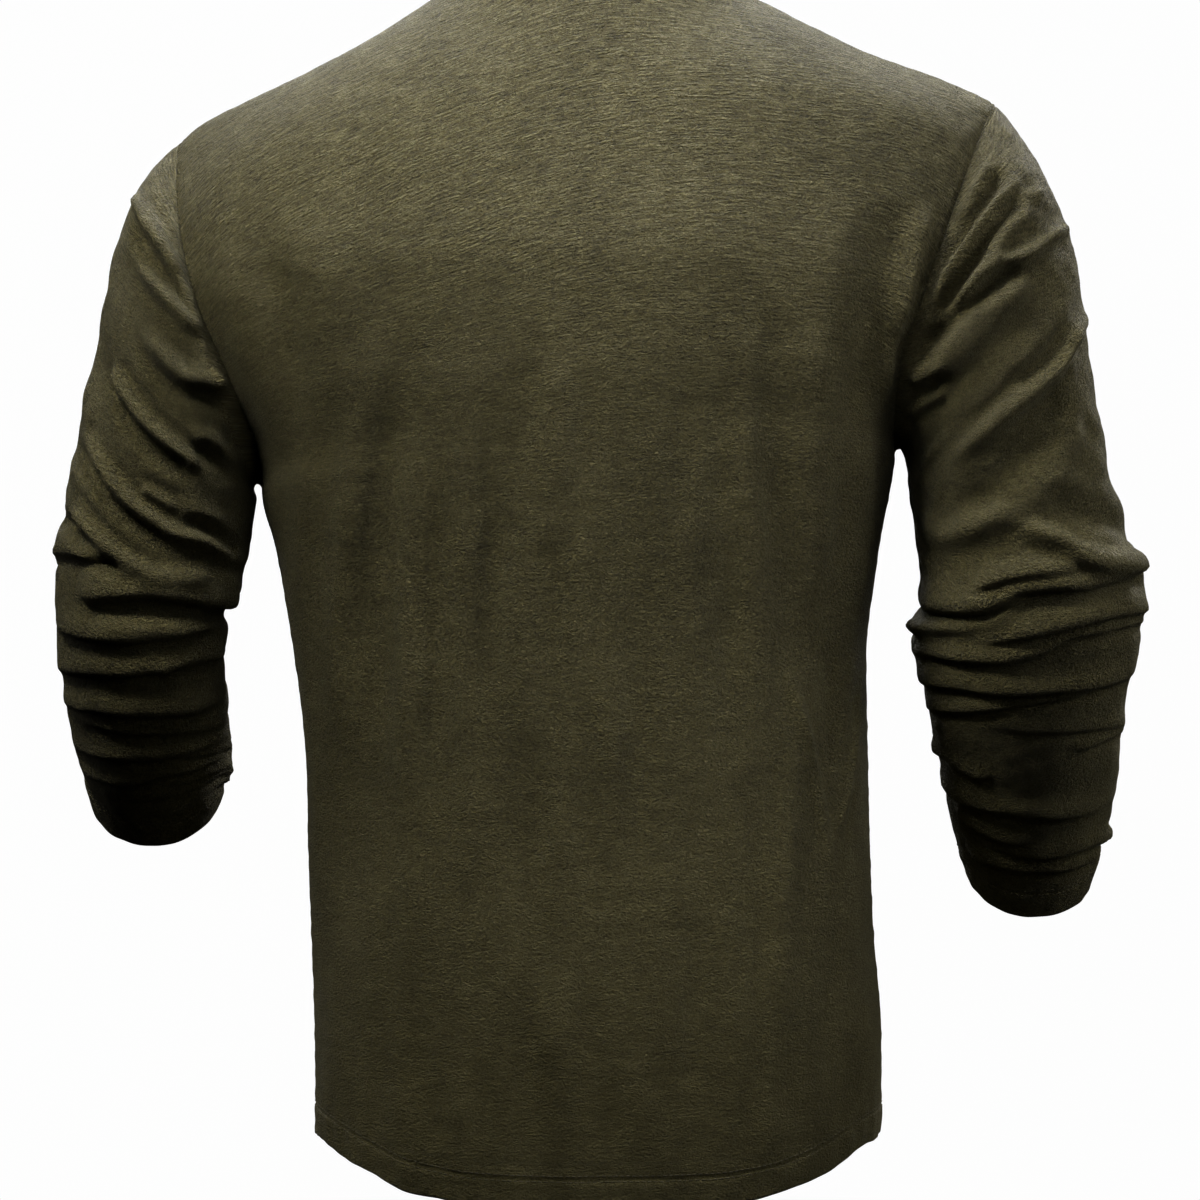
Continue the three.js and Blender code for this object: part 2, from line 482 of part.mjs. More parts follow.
// The front panel has a slit under the placket.
function frontPanel() {
  const solid = toSolid(wall(front.outer, front.inner, false, 1));
  const p = frontAt(0, PLACKET_L - 4).p;
  const slit = new THREE.BoxGeometry(SLIT_W, 120, -p[2] + 20);
  slit.translate(0, -110, (p[2] - 20) / 2 + 20);
  const cutter = toSolid(slit);
  return fromSolid(solid.subtract(cutter));
}
function button() {
  const profile = [
    [0, 0], [BUTTON_R - 0.5, 0], [BUTTON_R, 0.6], [BUTTON_R, BUTTON_T - 0.6], [BUTTON_R - 0.5, BUTTON_T],
    [BUTTON_R - 1.4, BUTTON_T], [BUTTON_R - 2, BUTTON_T - 0.6], [0, BUTTON_T - 0.6],
  ].map(([x, y]) => new THREE.Vector2(x, y));
  let solid = toSolid(new THREE.LatheGeometry(profile, 20));
  for (const [x, z] of [[1.2, 1.2], [-1.2, 1.2], [1.2, -1.2], [-1.2, -1.2]]) {
    const hole = new THREE.CylinderGeometry(0.65, 0.65, 6, 6);
    hole.translate(x, 0, z);
    solid = solid.subtract(toSolid(hole));
  }
  return fromSolid(solid);
}

// ---------------------------------------------------------------- assembly
const shirt = new THREE.Group();
const jersey = new THREE.MeshStandardMaterial({ color: 0x4a4531, roughness: 0.95, metalness: 0, side: THREE.DoubleSide });
const sleeveCloth = jersey.clone();
const rib = new THREE.MeshStandardMaterial({ color: 0x464130, roughness: 0.95, metalness: 0 });
const buttonStuff = new THREE.MeshStandardMaterial({ color: 0x221f17, roughness: 0.4, metalness: 0 });
function piece(name, geometry, material) {
  const mesh = new THREE.Mesh(geometry, material);
  mesh.name = name;
  shirt.add(mesh);
  return mesh;
}
piece('back_panel', wall(back.outer, back.inner, false, -1), jersey);
piece('front_panel', frontPanel(), jersey);
piece('sleeve_left', sleeve(1, SLEEVE_L, ROLLS_L, 9), sleeveCloth);
piece('sleeve_right', sleeve(-1, SLEEVE_R, ROLLS_R, 9), sleeveCloth);
piece('neckband', neckband(), rib);
piece('placket_over', strip(PLACKET_W / 2, 1.2, PLACKET_L, LIFT, PLACKET_T), jersey);
piece('placket_under', strip(PLACKET_W / 2 - 1, 2.4, PLACKET_L - 2, -CLOTH - LIFT - PLACKET_T, PLACKET_T), jersey);
BUTTON_DROPS.forEach((drop, i) => {
  const { p, n } = frontAt(0, drop);
  const b = piece('button_' + (i + 1), button(), buttonStuff);
  b.position.set(...add(p, n, LIFT + PLACKET_T + SEAM));
  b.quaternion.setFromUnitVectors(new THREE.Vector3(0, 1, 0), new THREE.Vector3(...n));
});

export default shirt;
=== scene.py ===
# A long-sleeved henley shirt in olive slub jersey, filled out as worn, with no wearer.
# Lengths are in mm until a mesh is made; +Z is up and the back of the shirt faces +Y.
import math

import bpy
import numpy as np
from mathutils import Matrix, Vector


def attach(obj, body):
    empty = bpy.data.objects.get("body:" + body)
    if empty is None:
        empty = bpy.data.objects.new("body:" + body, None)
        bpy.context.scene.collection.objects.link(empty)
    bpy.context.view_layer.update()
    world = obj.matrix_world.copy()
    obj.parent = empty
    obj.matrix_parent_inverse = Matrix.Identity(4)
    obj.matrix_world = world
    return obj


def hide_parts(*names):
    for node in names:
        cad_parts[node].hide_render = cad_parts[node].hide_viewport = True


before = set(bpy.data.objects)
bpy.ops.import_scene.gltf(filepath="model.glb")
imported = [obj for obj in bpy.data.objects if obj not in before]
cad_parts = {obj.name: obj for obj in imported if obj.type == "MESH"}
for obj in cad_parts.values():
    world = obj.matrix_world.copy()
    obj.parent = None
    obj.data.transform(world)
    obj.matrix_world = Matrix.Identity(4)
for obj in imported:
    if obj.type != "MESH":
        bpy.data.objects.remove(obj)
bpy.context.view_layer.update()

# ---------------------------------------------------------------- sizes, in mm
SEAM = 0.3
WALL = 1.5
NECK_HALF = 80.0
NECK_SHARE = 0.33
RIDGE_Y = 4.0
BAND_H = 20.0
BAND_T = 2.2
PLACKET_W = 30.0
PLACKET_L = 140.0
PLACKET_T = 1.5
LIFT = 0.6
BUTTON_R = 5.6
BUTTON_DROPS = (16.0, 58.0, 100.0)
ARMPIT_ROW = 6
NECK_BACK = (62.0, -10.0)
NECK_FRONT = (74.0, -72.0)
LEAN = {"back": 16.0, "side": 8.0, "front": 34.0}
NECK_AXIS_Y = -6.0
GHOST = 45.0

# Torso sections, hem to shoulders, as in the frame's own source.
BODY_COLUMNS = "name xl zl xr zr eb ef fx cb zb cf zf phi sq"
BODY_ROWS = [dict(zip(BODY_COLUMNS.split(), r)) for r in (
    ("hem", 162, -667, 164.5, -667, 0, 0, 0, 113, -698, 117, -699, 90, 0.35),
    ("hip", 162.5, -612, 166, -612, 0, 0, 0, 114, -618, 118, -618, 90, 0.35),
    ("seat", 164.5, -545, 161, -545, 0, 0, 0, 110, -546, 119, -546, 90, 0.36),
    ("waist", 166.5, -465, 158.5, -465, 0, 0, 0, 104, -465, 121, -465, 90, 0.37),
    ("ribs", 174.2, -392, 157.3, -392, 0, 0, 0, 103, -391, 126, -391, 90, 0.4),
    ("chest", 184.5, -333, 164.5, -331, 0, 0, 0, 107, -328, 133, -328, 90, 0.45),
    ("armpit", 192.6, -297, 173.6, -277, 0, 0, 0, 111, -283, 136, -284, 90, 0.5),
    ("base", 192.8, -279, 171.6, -259, 27, 26, 1, 113, -258, 136, -262, 80, 0.4),
    ("low", 205.8, -238, 173.5, -225, 57, 52, 5, 116, -222, 134, -230, 66, 0.36),
    ("mid", 224.6, -192.5, 185, -190, 66, 60, 10, 115, -172, 124, -188, 60, 0.35),
    ("high", 234.5, -156, 203.5, -138, 57, 52, 7, 103, -120, 108, -146, 60, 0.35),
    ("top", 239.5, -121, 220.5, -94, 34, 30, 3, 83, -62, 88, -108, 60, 0.35),
)]
SHOULDER_COLUMNS = "at xl zl xr zr"
SHOULDER_ROWS = [dict(zip(SHOULDER_COLUMNS.split(), r)) for r in (
    (0, 80, -3, 80, -6), (0.25, 120, -29, 118, -25), (0.5, 160, -51.5, 156, -43),
    (0.75, 200, -71, 193, -56.5), (0.92, 228, -85, 219, -66.5), (1, 240.5, -96, 231, -73),
)]
# The panels' largest soft folds, as in the frame's source.
FOLD_COLUMNS = "panel x0 z0 x1 z1 out wide"
FOLDS = [dict(zip(FOLD_COLUMNS.split(), r)) for r in (
    (1, 106, -204, 144, -555, -4, 17), (1, 42, -232, 72, -438, -3, 16), (1, -14, -276, -14, -443, -2, 13),
    (1, -53, -232, -64, -382, -2.5, 14), (1, -89, -237, -131, -438, -3.5, 16),
    (-1, 92, -250, 118, -560, -4, 18), (-1, 46, -330, 58, -590, -2.5, 16),
    (-1, -40, -310, -66, -520, -2.5, 16), (-1, -88, -245, -124, -500, -3.5, 17),
)]
STATION_COLUMNS = "name xo zo xi zi yc b tilt"
SLEEVE_L = [dict(zip(STATION_COLUMNS.split(), r)) for r in (
    ("cap", 258.3, -113.9, 196.0, -292.5, 4, 70, 0),
    ("deltoid", 272.0, -143.0, 197.6, -295.8, 6, 69, 0),
    ("upper", 282.2, -185.4, 196.2, -302.2, 8, 65, 0),
    ("biceps", 290.7, -230.0, 197.4, -313.2, 9, 61, 0),
    ("middle", 299.9, -273.3, 199.8, -330.5, 10, 58, 0),
    ("lower", 307.8, -317.8, 205.0, -348.4, 11, 55, 0),
    ("elbow", 311.6, -357.7, 211.9, -366.9, 9, 53, -10),
    ("gather", 310.5, -390.5, 215.6, -397.1, -2, 50, -22),
    ("forearm", 308.0, -423.0, 215.8, -425.5, -22, 48, -34),
    ("wrist", 304.0, -451.0, 217.4, -452.5, -45, 45, -41),
    ("cuff", 299.5, -475.0, 222.8, -476.0, -67, 42, -43),
)]
SLEEVE_R = [dict(zip(STATION_COLUMNS.split(), r)) for r in (
    ("cap", 250.2, -98.2, 177.0, -272.5, 4, 70, 0),
    ("deltoid", 266.3, -127.3, 178.9, -276.6, 5, 70, 0),
    ("upper", 277.8, -166.1, 180.2, -282.5, 6, 68, 0),
    ("biceps", 284.5, -206.8, 181.6, -292.9, 8, 65, 0),
    ("middle", 289.5, -247.3, 183.7, -309.2, 10, 62, 0),
    ("lower", 296.3, -286.1, 186.0, -328.2, 11, 60, 0),
    ("above_elbow", 309.5, -322.5, 188.6, -347.3, 12, 59, -3),
    ("elbow", 316.2, -352.0, 187.6, -364.0, 10, 58, -10),
    ("gather", 316.0, -380.0, 186.0, -386.5, 1, 56, -19),
    ("forearm", 308.6, -414.0, 193.2, -417.1, -15, 53, -29),
    ("below", 308.0, -447.5, 201.5, -447.8, -38, 50, -36),
    ("wrist", 306.0, -482.4, 210.4, -482.4, -66, 46, -39),
    ("cuff", 299.5, -517.0, 221.5, -517.3, -94, 46, -43),
)]


# ---------------------------------------------------------------- curves
def smoothstep(a, b, t):
    s = np.clip((t - a) / (b - a), 0, 1)
    return s * s * (3 - 2 * s)


def cubic(ks, pts, x):
    """Monotone cubic through pts (n, ...) at ks (n), read at x (m)."""
    ks = np.asarray(ks, float)
    pts = np.asarray(pts, float)
    n = len(ks)
    shape = (-1,) + (1,) * (pts.ndim - 1)
    h = np.diff(ks).reshape(shape)
    d = np.diff(pts, axis=0) / h
    m = np.zeros_like(pts)
    d0, d1 = d[:-1], d[1:]
    w1, w2 = 2 * h[1:] + h[:-1], h[1:] + 2 * h[:-1]
    same = d0 * d1 > 0
    with np.errstate(divide="ignore", invalid="ignore"):
        m[1:-1] = np.where(same, (w1 + w2) / (w1 / np.where(same, d0, 1) + w2 / np.where(same, d1, 1)), 0)
    for at, (ha, hb, da, db) in ((0, (h[0], h[1], d[0], d[1])), (n - 1, (h[-1], h[-2], d[-1], d[-2]))):
        e = ((2 * ha + hb) * da - ha * db) / (ha + hb)
        e = np.where(e * da <= 0, 0, e)
        m[at] = np.where((da * db <= 0) & (np.abs(e) > np.abs(3 * da)), 3 * da, e)
    i = np.clip(np.searchsorted(ks, x, side="right") - 1, 0, n - 2)
    t = ((x - ks[i]) / (ks[i + 1] - ks[i])).reshape(shape)
    hh = h[i]
    t2, t3 = t * t, t * t * t
    return (pts[i] * (2 * t3 - 3 * t2 + 1) + hh * m[i] * (t3 - 2 * t2 + t)
            + pts[i + 1] * (3 * t2 - 2 * t3) + hh * m[i + 1] * (t3 - t2))


def unit(a):
    return a / np.maximum(np.linalg.norm(a, axis=-1, keepdims=True), 1e-9)


# ---------------------------------------------------------------- torso
def section(row, panel, u):
    phi = math.radians(row["phi"])
    s = (np.cos(phi * u) - math.cos(phi)) / (1 - math.cos(phi))
    w = (1 + np.sin(phi * u) / math.sin(phi)) / 2
    fx = 0 if panel > 0 else row["fx"]
    e, c, zc = (row["eb"], row["cb"], row["zb"]) if panel > 0 else (row["ef"], row["cf"], row["zf"])
    full = s + row["sq"] * s * (1 - s)
    sc = np.clip(s, 0, 1)
    drop = np.sin(math.pi / 2 * sc) ** 3.8 if row["phi"] == 90 else sc ** 1.15
    x = -(row["xr"] - fx) * (1 - w) + (row["xl"] - fx) * w
    z = row["zr"] * (1 - w) + row["zl"] * w
    return np.stack([x, panel * (e + (c - e) * full), z + (zc - (row["zr"] + row["zl"]) / 2) * drop], -1)


def top_edge(panel, u):
    u = np.asarray(u, float)
    a = np.abs(u)
    at = [r["at"] for r in SHOULDER_ROWS]
    s = np.clip((a - NECK_SHARE) / (1 - NECK_SHARE), 0, 1)
    def read(k):
        return cubic(at, [r[k] for r in SHOULDER_ROWS], s)
    left = u > 0
    seam = np.stack([np.where(left, read("xl"), -read("xr")), np.full_like(a, RIDGE_Y), np.where(left, read("zl"), read("zr"))], -1)
    w = np.clip(u / NECK_SHARE, -1, 1) * math.pi / 2
    c = np.clip(np.cos(w), 0, 1)
    cy, cz = NECK_BACK if panel > 0 else NECK_FRONT
    zr, zl = SHOULDER_ROWS[0]["zr"], SHOULDER_ROWS[0]["zl"]
    side = zr + (zl - zr) * (1 + np.sin(w)) / 2
    neck = np.stack([NECK_HALF * np.sin(w), RIDGE_Y + (panel * cy - RIDGE_Y) * c, side + (cz - side) * c ** (1.3 if panel > 0 else 0.9)], -1)
    return np.where((a >= NECK_SHARE)[..., None], seam, neck)


ROWS = len(BODY_ROWS)


def knots(panel):
    us = np.array([-0.97, -0.6, 0, 0.6, 0.97])
    pts = [section(r, panel, us) for r in BODY_ROWS] + [top_edge(panel, us)]
    out = [0.0]
    for a, b in zip(pts, pts[1:]):
        out.append(out[-1] + float(np.linalg.norm(b - a, axis=-1).mean()))
    return np.array(out)


KNOTS = {1: knots(1), -1: knots(-1)}


def big_folds(panel, u, p):
    out = np.zeros(p.shape[:-1])
    for f in FOLDS:
        if f["panel"] != panel:
            continue
        s = (f["z0"] - p[..., 2]) / (f["z0"] - f["z1"])
        sc = np.clip(s, 0, 1)
        side = (p[..., 0] - (f["x0"] + (f["x1"] - f["x0"]) * sc)) / f["wide"]
        out += f["out"] * smoothstep(-0.25, 0.25, s) * (1 - smoothstep(0.75, 1.25, s)) * np.exp(-side * side)
    return out * (1 - smoothstep(0.8, 0.97, np.abs(u)))


def body(panel, u, v, folds=True):
    """Points of a panel at every v (rows) and u (columns)."""
    u, v = np.atleast_1d(np.asarray(u, float)), np.atleast_1d(np.asarray(v, float))
    pts = [section(r, panel, u) for r in BODY_ROWS]
    top = top_edge(panel, u)
    pts.append(top)
    far = section(BODY_ROWS[-1], -panel, u)
    on = top + (top - pts[ROWS - 1]) * 0.6
    w = smoothstep(NECK_SHARE - 0.16, NECK_SHARE + 0.26, np.abs(u))[:, None]
    pts.append(on * (1 - w) + far * w)
    ks = np.append(KNOTS[panel], KNOTS[panel][-1] + GHOST)
    i = np.minimum(ROWS - 1, np.floor(v).astype(int))
    k = ks[i] + (ks[i + 1] - ks[i]) * (v - i)
    p = cubic(ks, np.stack(pts), k)
    if folds:
        a = math.pi / 2 * u
        way = np.stack([np.sin(a), panel * np.cos(a), np.zeros_like(a)], -1)
        p = p + way[None] * big_folds(panel, u[None, :], p)[..., None]
    return p


def v_of(panel, k):
    """Section number of a length up the panel."""
    return np.interp(k, KNOTS[panel], np.arange(ROWS + 1))


# ---------------------------------------------------------------- sleeves
def station(row, side, turn):
    a, t = math.pi * turn, math.radians(row["tilt"])
    half = np.array([side * (row["xo"] - row["xi"]) / 2, 0, (row["zo"] - row["zi"]) / 2])
    c = np.array([side * (row["xo"] + row["xi"]) / 2, row["yc"], (row["zo"] + row["zi"]) / 2])
    deep = np.array([0, row["b"] * math.cos(t), row["b"] * math.sin(t)])
    return c + half * np.cos(a)[:, None] + deep * np.sin(a)[:, None]


def armhole(side, turn):
    """Points of the armhole at each turn: 0 the shoulder tip, 1 the armpit, round by the back."""
    out = np.zeros((len(turn), 3))
    vs = np.linspace(ROWS, ARMPIT_ROW, 241)
    for panel, mine, share in ((1, turn <= 1, turn), (-1, turn > 1, 2 - turn)):
        edge = body(panel, [side], vs)[:, 0]
        s = np.append(0, np.cumsum(np.linalg.norm(np.diff(edge, axis=0), axis=1)))
        at = np.interp(share[mine], s / s[-1], np.arange(len(vs)))
        out[mine] = np.stack([np.interp(at, np.arange(len(vs)), edge[:, k]) for k in range(3)], -1)
    return out


def sleeve_lines(side, rows, turn):
    hole = armhole(side, turn)
    first = station(rows[0], side, turn)
    lines = np.stack([hole + unit(first - hole) * 0.1, *[station(r, side, turn) for r in rows]])
    ks = np.append(0, np.cumsum(np.linalg.norm(np.diff(lines, axis=0), axis=-1).mean(axis=1)))
    return ks, lines


def sleeve_surface(side, rows, turn, t):
    ks, lines = sleeve_lines(side, rows, turn)
    return cubic(ks, lines, np.asarray(t) * ks[-1]), ks[-1]


# ---------------------------------------------------------------- creases
# kind, height or depth in mm, half width in mm, and the line it follows. On a
# sleeve a line's points are (turn, share of the length): turn 0 is the outer
# edge, 0.5 the back, 1 the underarm. On the back and front they are (x, z).
CREASES_L = (
    ("ridge", 1.2, 11, ((-0.3, 0.19), (-0.06, 0.15), (0.12, 0.13))),
    ("trough", 1.1, 10, ((-0.28, 0.27), (-0.05, 0.24), (0.16, 0.22))),
    ("ridge", 1.2, 12, ((-0.27, 0.33), (-0.02, 0.3), (0.18, 0.29))),
    ("trough", 3.2, 5, ((0.15, 0.092), (0.28, 0.083), (0.41, 0.065), (0.49, 0.025), (0.51, 0))),
    ("ridge", 2.5, 5, ((0.05, 0.072), (0.31, 0.058), (0.41, 0.015), (0.45, 0))),
    ("ridge", 2.2, 5, ((0.26, 0.1), (0.41, 0.077), (0.5, 0.04), (0.52, 0))),
    ("trough", 2, 4, ((0.39, 0.048), (0.46, 0.003), (0.5, 0))),
    ("lip", 3, 7, ((0.56, 0.115), (0.62, 0.058), (0.68, 0))),
    ("ridge", 2.5, 6, ((0.36, 0.14), (0.43, 0.145), (0.53, 0.125), (0.61, 0.062), (0.67, 0.003))),
    ("ridge", 3.6, 5, ((0.24, 0.233), (0.33, 0.25), (0.42, 0.263), (0.52, 0.265), (0.61, 0.253), (0.64, 0.233))),
    ("trough", 2.5, 7, ((0.29, 0.265), (0.4, 0.275), (0.51, 0.283), (0.61, 0.27))),
    ("ridge", 1.6, 5, ((0.59, 0.193), (0.7, 0.155), (0.85, 0.07))),
    ("trough", 2, 7, ((0.61, 0.212), (0.71, 0.198), (0.83, 0.175))),
    ("ridge", 3.4, 5, ((0.13, 0.335), (0.27, 0.36), (0.37, 0.388), (0.48, 0.405), (0.59, 0.415), (0.7, 0.4), (0.86, 0.41), (1.02, 0.422))),
    ("trough", 2.5, 6, ((-0.07, 0.355), (0.26, 0.383), (0.37, 0.405), (0.48, 0.425), (0.59, 0.438))),
    ("ridge", 1.6, 4, ((0.45, 0.365), (0.52, 0.365), (0.59, 0.367))),
    ("trough", 3, 5, ((0.61, 0.378), (0.71, 0.375), (0.87, 0.403))),
    ("ridge", 3, 5, ((0.17, 0.425), (0.26, 0.453), (0.38, 0.475), (0.47, 0.49), (0.57, 0.497), (0.68, 0.487), (0.76, 0.465))),
    ("trough", 2.4, 5, ((-0.12, 0.453), (0.29, 0.473), (0.39, 0.492), (0.48, 0.508))),
    ("lip", 2.5, 6, ((-0.09, 0.505), (0.29, 0.495), (0.43, 0.487))),
    ("lip", 4, 9, ((0.25, 0.547), (0.44, 0.535), (0.55, 0.525), (0.67, 0.525), (0.81, 0.532), (1.01, 0.54))),
    ("trough", 3.5, 6, ((0.37, 0.552), (0.53, 0.547), (0.67, 0.545), (1.01, 0.568))),
    ("lip", 3.5, 7, ((0.01, 0.61), (0.22, 0.6), (0.36, 0.595), (0.53, 0.59), (0.64, 0.585), (0.75, 0.578), (1.02, 0.595))),
    ("lip", 2.5, 6, ((-0.08, 0.728), (0.32, 0.652), (0.47, 0.642), (0.59, 0.633), (0.75, 0.625), (1.05, 0.67))),
    ("lip", 2, 4, ((0.56, 0.642), (0.72, 0.635), (0.93, 0.638))),
    ("lip", 3, 6, ((0.01, 0.768), (0.26, 0.72), (0.43, 0.705), (0.62, 0.705), (0.74, 0.713), (0.96, 0.738))),
    ("lip", 1.6, 5, ((0.14, 0.765), (0.39, 0.738), (0.57, 0.738), (0.74, 0.753), (1.04, 0.818))),
    ("lip", 2.2, 5, ((0.05, 0.855), (0.35, 0.792), (0.5, 0.782), (0.63, 0.782), (0.77, 0.79), (1.02, 0.86))),
    ("lip", 1.6, 4, ((0.61, 0.792), (0.77, 0.807), (1.01, 0.88))),
    ("lip", 2.6, 5, ((0.09, 0.902), (0.3, 0.855), (0.44, 0.838), (0.6, 0.82), (0.72, 0.825), (0.99, 0.888))),
    ("lip", 1.6, 4, ((0.55, 0.843), (0.72, 0.85), (1.01, 0.92))),
    ("lip", 1.6, 4, ((0.42, 0.888), (0.59, 0.868), (0.76, 0.875), (1.04, 0.953))),
    ("lip", 1.2, 4, ((0.5, 0.917), (0.64, 0.915), (0.78, 0.91), (1.05, 0.985))),
)
CREASES_R = (
    ("ridge", 1.3, 11, ((-0.3, 0.2), (-0.08, 0.165), (0.16, 0.15))),
    ("trough", 1.2, 10, ((-0.26, 0.3), (-0.02, 0.262), (0.2, 0.24))),
    ("ridge", 1.3, 12, ((-0.28, 0.375), (-0.05, 0.335), (0.2, 0.33))),
    ("trough", 4, 6, ((0.22, 0.037), (0.29, 0.037), (0.37, 0.03), (0.42, 0.02), (0.47, 0.01), (0.55, 0.003))),
    ("ridge", 2, 5, ((0.22, 0.022), (0.28, 0.018), (0.34, 0.01), (0.38, 0.007))),
    ("ridge", 3.2, 5, ((0.26, 0.052), (0.33, 0.043), (0.39, 0.033), (0.45, 0.025), (0.52, 0.015), (0.59, 0.007))),
    ("trough", 3.5, 5, ((0.25, 0.072), (0.34, 0.068), (0.41, 0.052), (0.48, 0.04), (0.54, 0.03), (0.6, 0.013))),
    ("ridge", 2.5, 5, ((0.16, 0.095), (0.29, 0.083), (0.38, 0.07), (0.45, 0.065))),
    ("trough", 2, 4, ((0.22, 0.092), (0.33, 0.077))),
    ("ridge", 3.5, 5, ((-0.09, 0.143), (0.32, 0.115), (0.4, 0.092), (0.46, 0.072), (0.5, 0.06), (0.57, 0.037), (0.65, 0.018), (0.7, 0.005))),
    ("trough", 4, 6, ((0.35, 0.113), (0.43, 0.095), (0.5, 0.07), (0.54, 0.052), (0.6, 0.035), (0.67, 0.013))),
    ("ridge", 3, 9, ((0.34, 0.135), (0.41, 0.125), (0.5, 0.107), (0.6, 0.088), (0.69, 0.052), (0.76, 0.013))),
    ("ridge", 2, 4, ((0.64, 0.085), (0.71, 0.035), (0.75, 0.01))),
    ("trough", 2, 4, ((0.66, 0.09), (0.73, 0.035), (0.78, 0.007))),
    ("ridge", 2, 4, ((0.68, 0.113), (0.76, 0.065), (0.83, 0.022))),
    ("trough", 2, 4, ((0.69, 0.085), (0.75, 0.045), (0.81, 0.01))),
    ("ridge", 4.2, 6, ((-0.09, 0.215), (0.24, 0.228), (0.33, 0.24), (0.43, 0.242), (0.53, 0.247), (0.64, 0.253), (0.76, 0.27))),
    ("trough", 3.5, 12, ((0.28, 0.268), (0.38, 0.29), (0.5, 0.315), (0.59, 0.335), (0.66, 0.367))),
    ("trough", 2.5, 8, ((0.24, 0.22), (0.36, 0.23), (0.47, 0.228))),
    ("ridge", 3, 9, ((0.52, 0.367), (0.64, 0.385), (0.76, 0.383), (0.87, 0.318))),
    ("ridge", 1.6, 3.5, ((0.75, 0.193), (0.83, 0.215), (0.9, 0.258))),
    ("trough", 3, 10, ((-0.1, 0.455), (0.28, 0.422), (0.39, 0.398), (0.46, 0.39))),
    ("ridge", 3.5, 6, ((0.53, 0.4), (0.46, 0.425), (0.4, 0.445), (0.33, 0.468), (0.26, 0.475), (0.04, 0.485))),
    ("lip", 4, 7, ((0.4, 0.455), (0.32, 0.473), (0.24, 0.48), (0.04, 0.49))),
    ("lip", 2.5, 5, ((0.69, 0.48), (0.6, 0.47), (0.54, 0.468), (0.44, 0.47), (0.37, 0.475))),
    ("lip", 4.5, 7, ((1.03, 0.512), (0.81, 0.508), (0.67, 0.505), (0.6, 0.495), (0.54, 0.485), (0.48, 0.485), (0.38, 0.49), (0.26, 0.492), (0.01, 0.505))),
    ("ridge", 3, 5, ((1.07, 0.555), (0.8, 0.53), (0.7, 0.525), (0.61, 0.512), (0.57, 0.497), (0.53, 0.485))),
    ("lip", 4, 6, ((0.78, 0.537), (0.68, 0.545), (0.56, 0.537), (0.45, 0.53), (0.36, 0.525), (-0.07, 0.56))),
    ("lip", 3.5, 6, ((1.11, 0.613), (0.75, 0.568), (0.61, 0.565), (0.49, 0.555), (0.39, 0.542), (-0.09, 0.585))),
    ("lip", 3, 6, ((1.07, 0.66), (0.72, 0.608), (0.55, 0.605), (0.4, 0.603), (-0.01, 0.642))),
    ("lip", 2.4, 5, ((1.06, 0.705), (0.72, 0.64), (0.58, 0.625), (0.46, 0.618), (0.33, 0.615), (0.03, 0.645))),
    ("lip", 1.2, 5, ((0.61, 0.657), (0.45, 0.662), (0.26, 0.675), (0.04, 0.718))),
    ("lip", 2.2, 5, ((0.99, 0.768), (0.8, 0.745), (0.7, 0.745), (0.63, 0.735))),
    ("lip", 1.6, 5, ((0.38, 0.695), (0.26, 0.698), (0.04, 0.73))),
    ("lip", 3, 6, ((1.07, 0.863), (0.74, 0.802), (0.57, 0.797), (0.42, 0.802), (0.27, 0.818), (0.07, 0.843))),
    ("lip", 2.2, 5, ((0.86, 0.85), (0.75, 0.853), (0.63, 0.855), (0.51, 0.853))),
    ("lip", 2.8, 5, ((0.82, 0.868), (0.7, 0.878), (0.58, 0.88), (0.45, 0.883), (0.34, 0.88), (-0.01, 0.943), (0.07, 0.883))),
    ("lip", 2.8, 5, ((0.83, 0.917), (0.66, 0.91), (0.48, 0.91), (0.31, 0.917), (0.14, 0.935))),
)
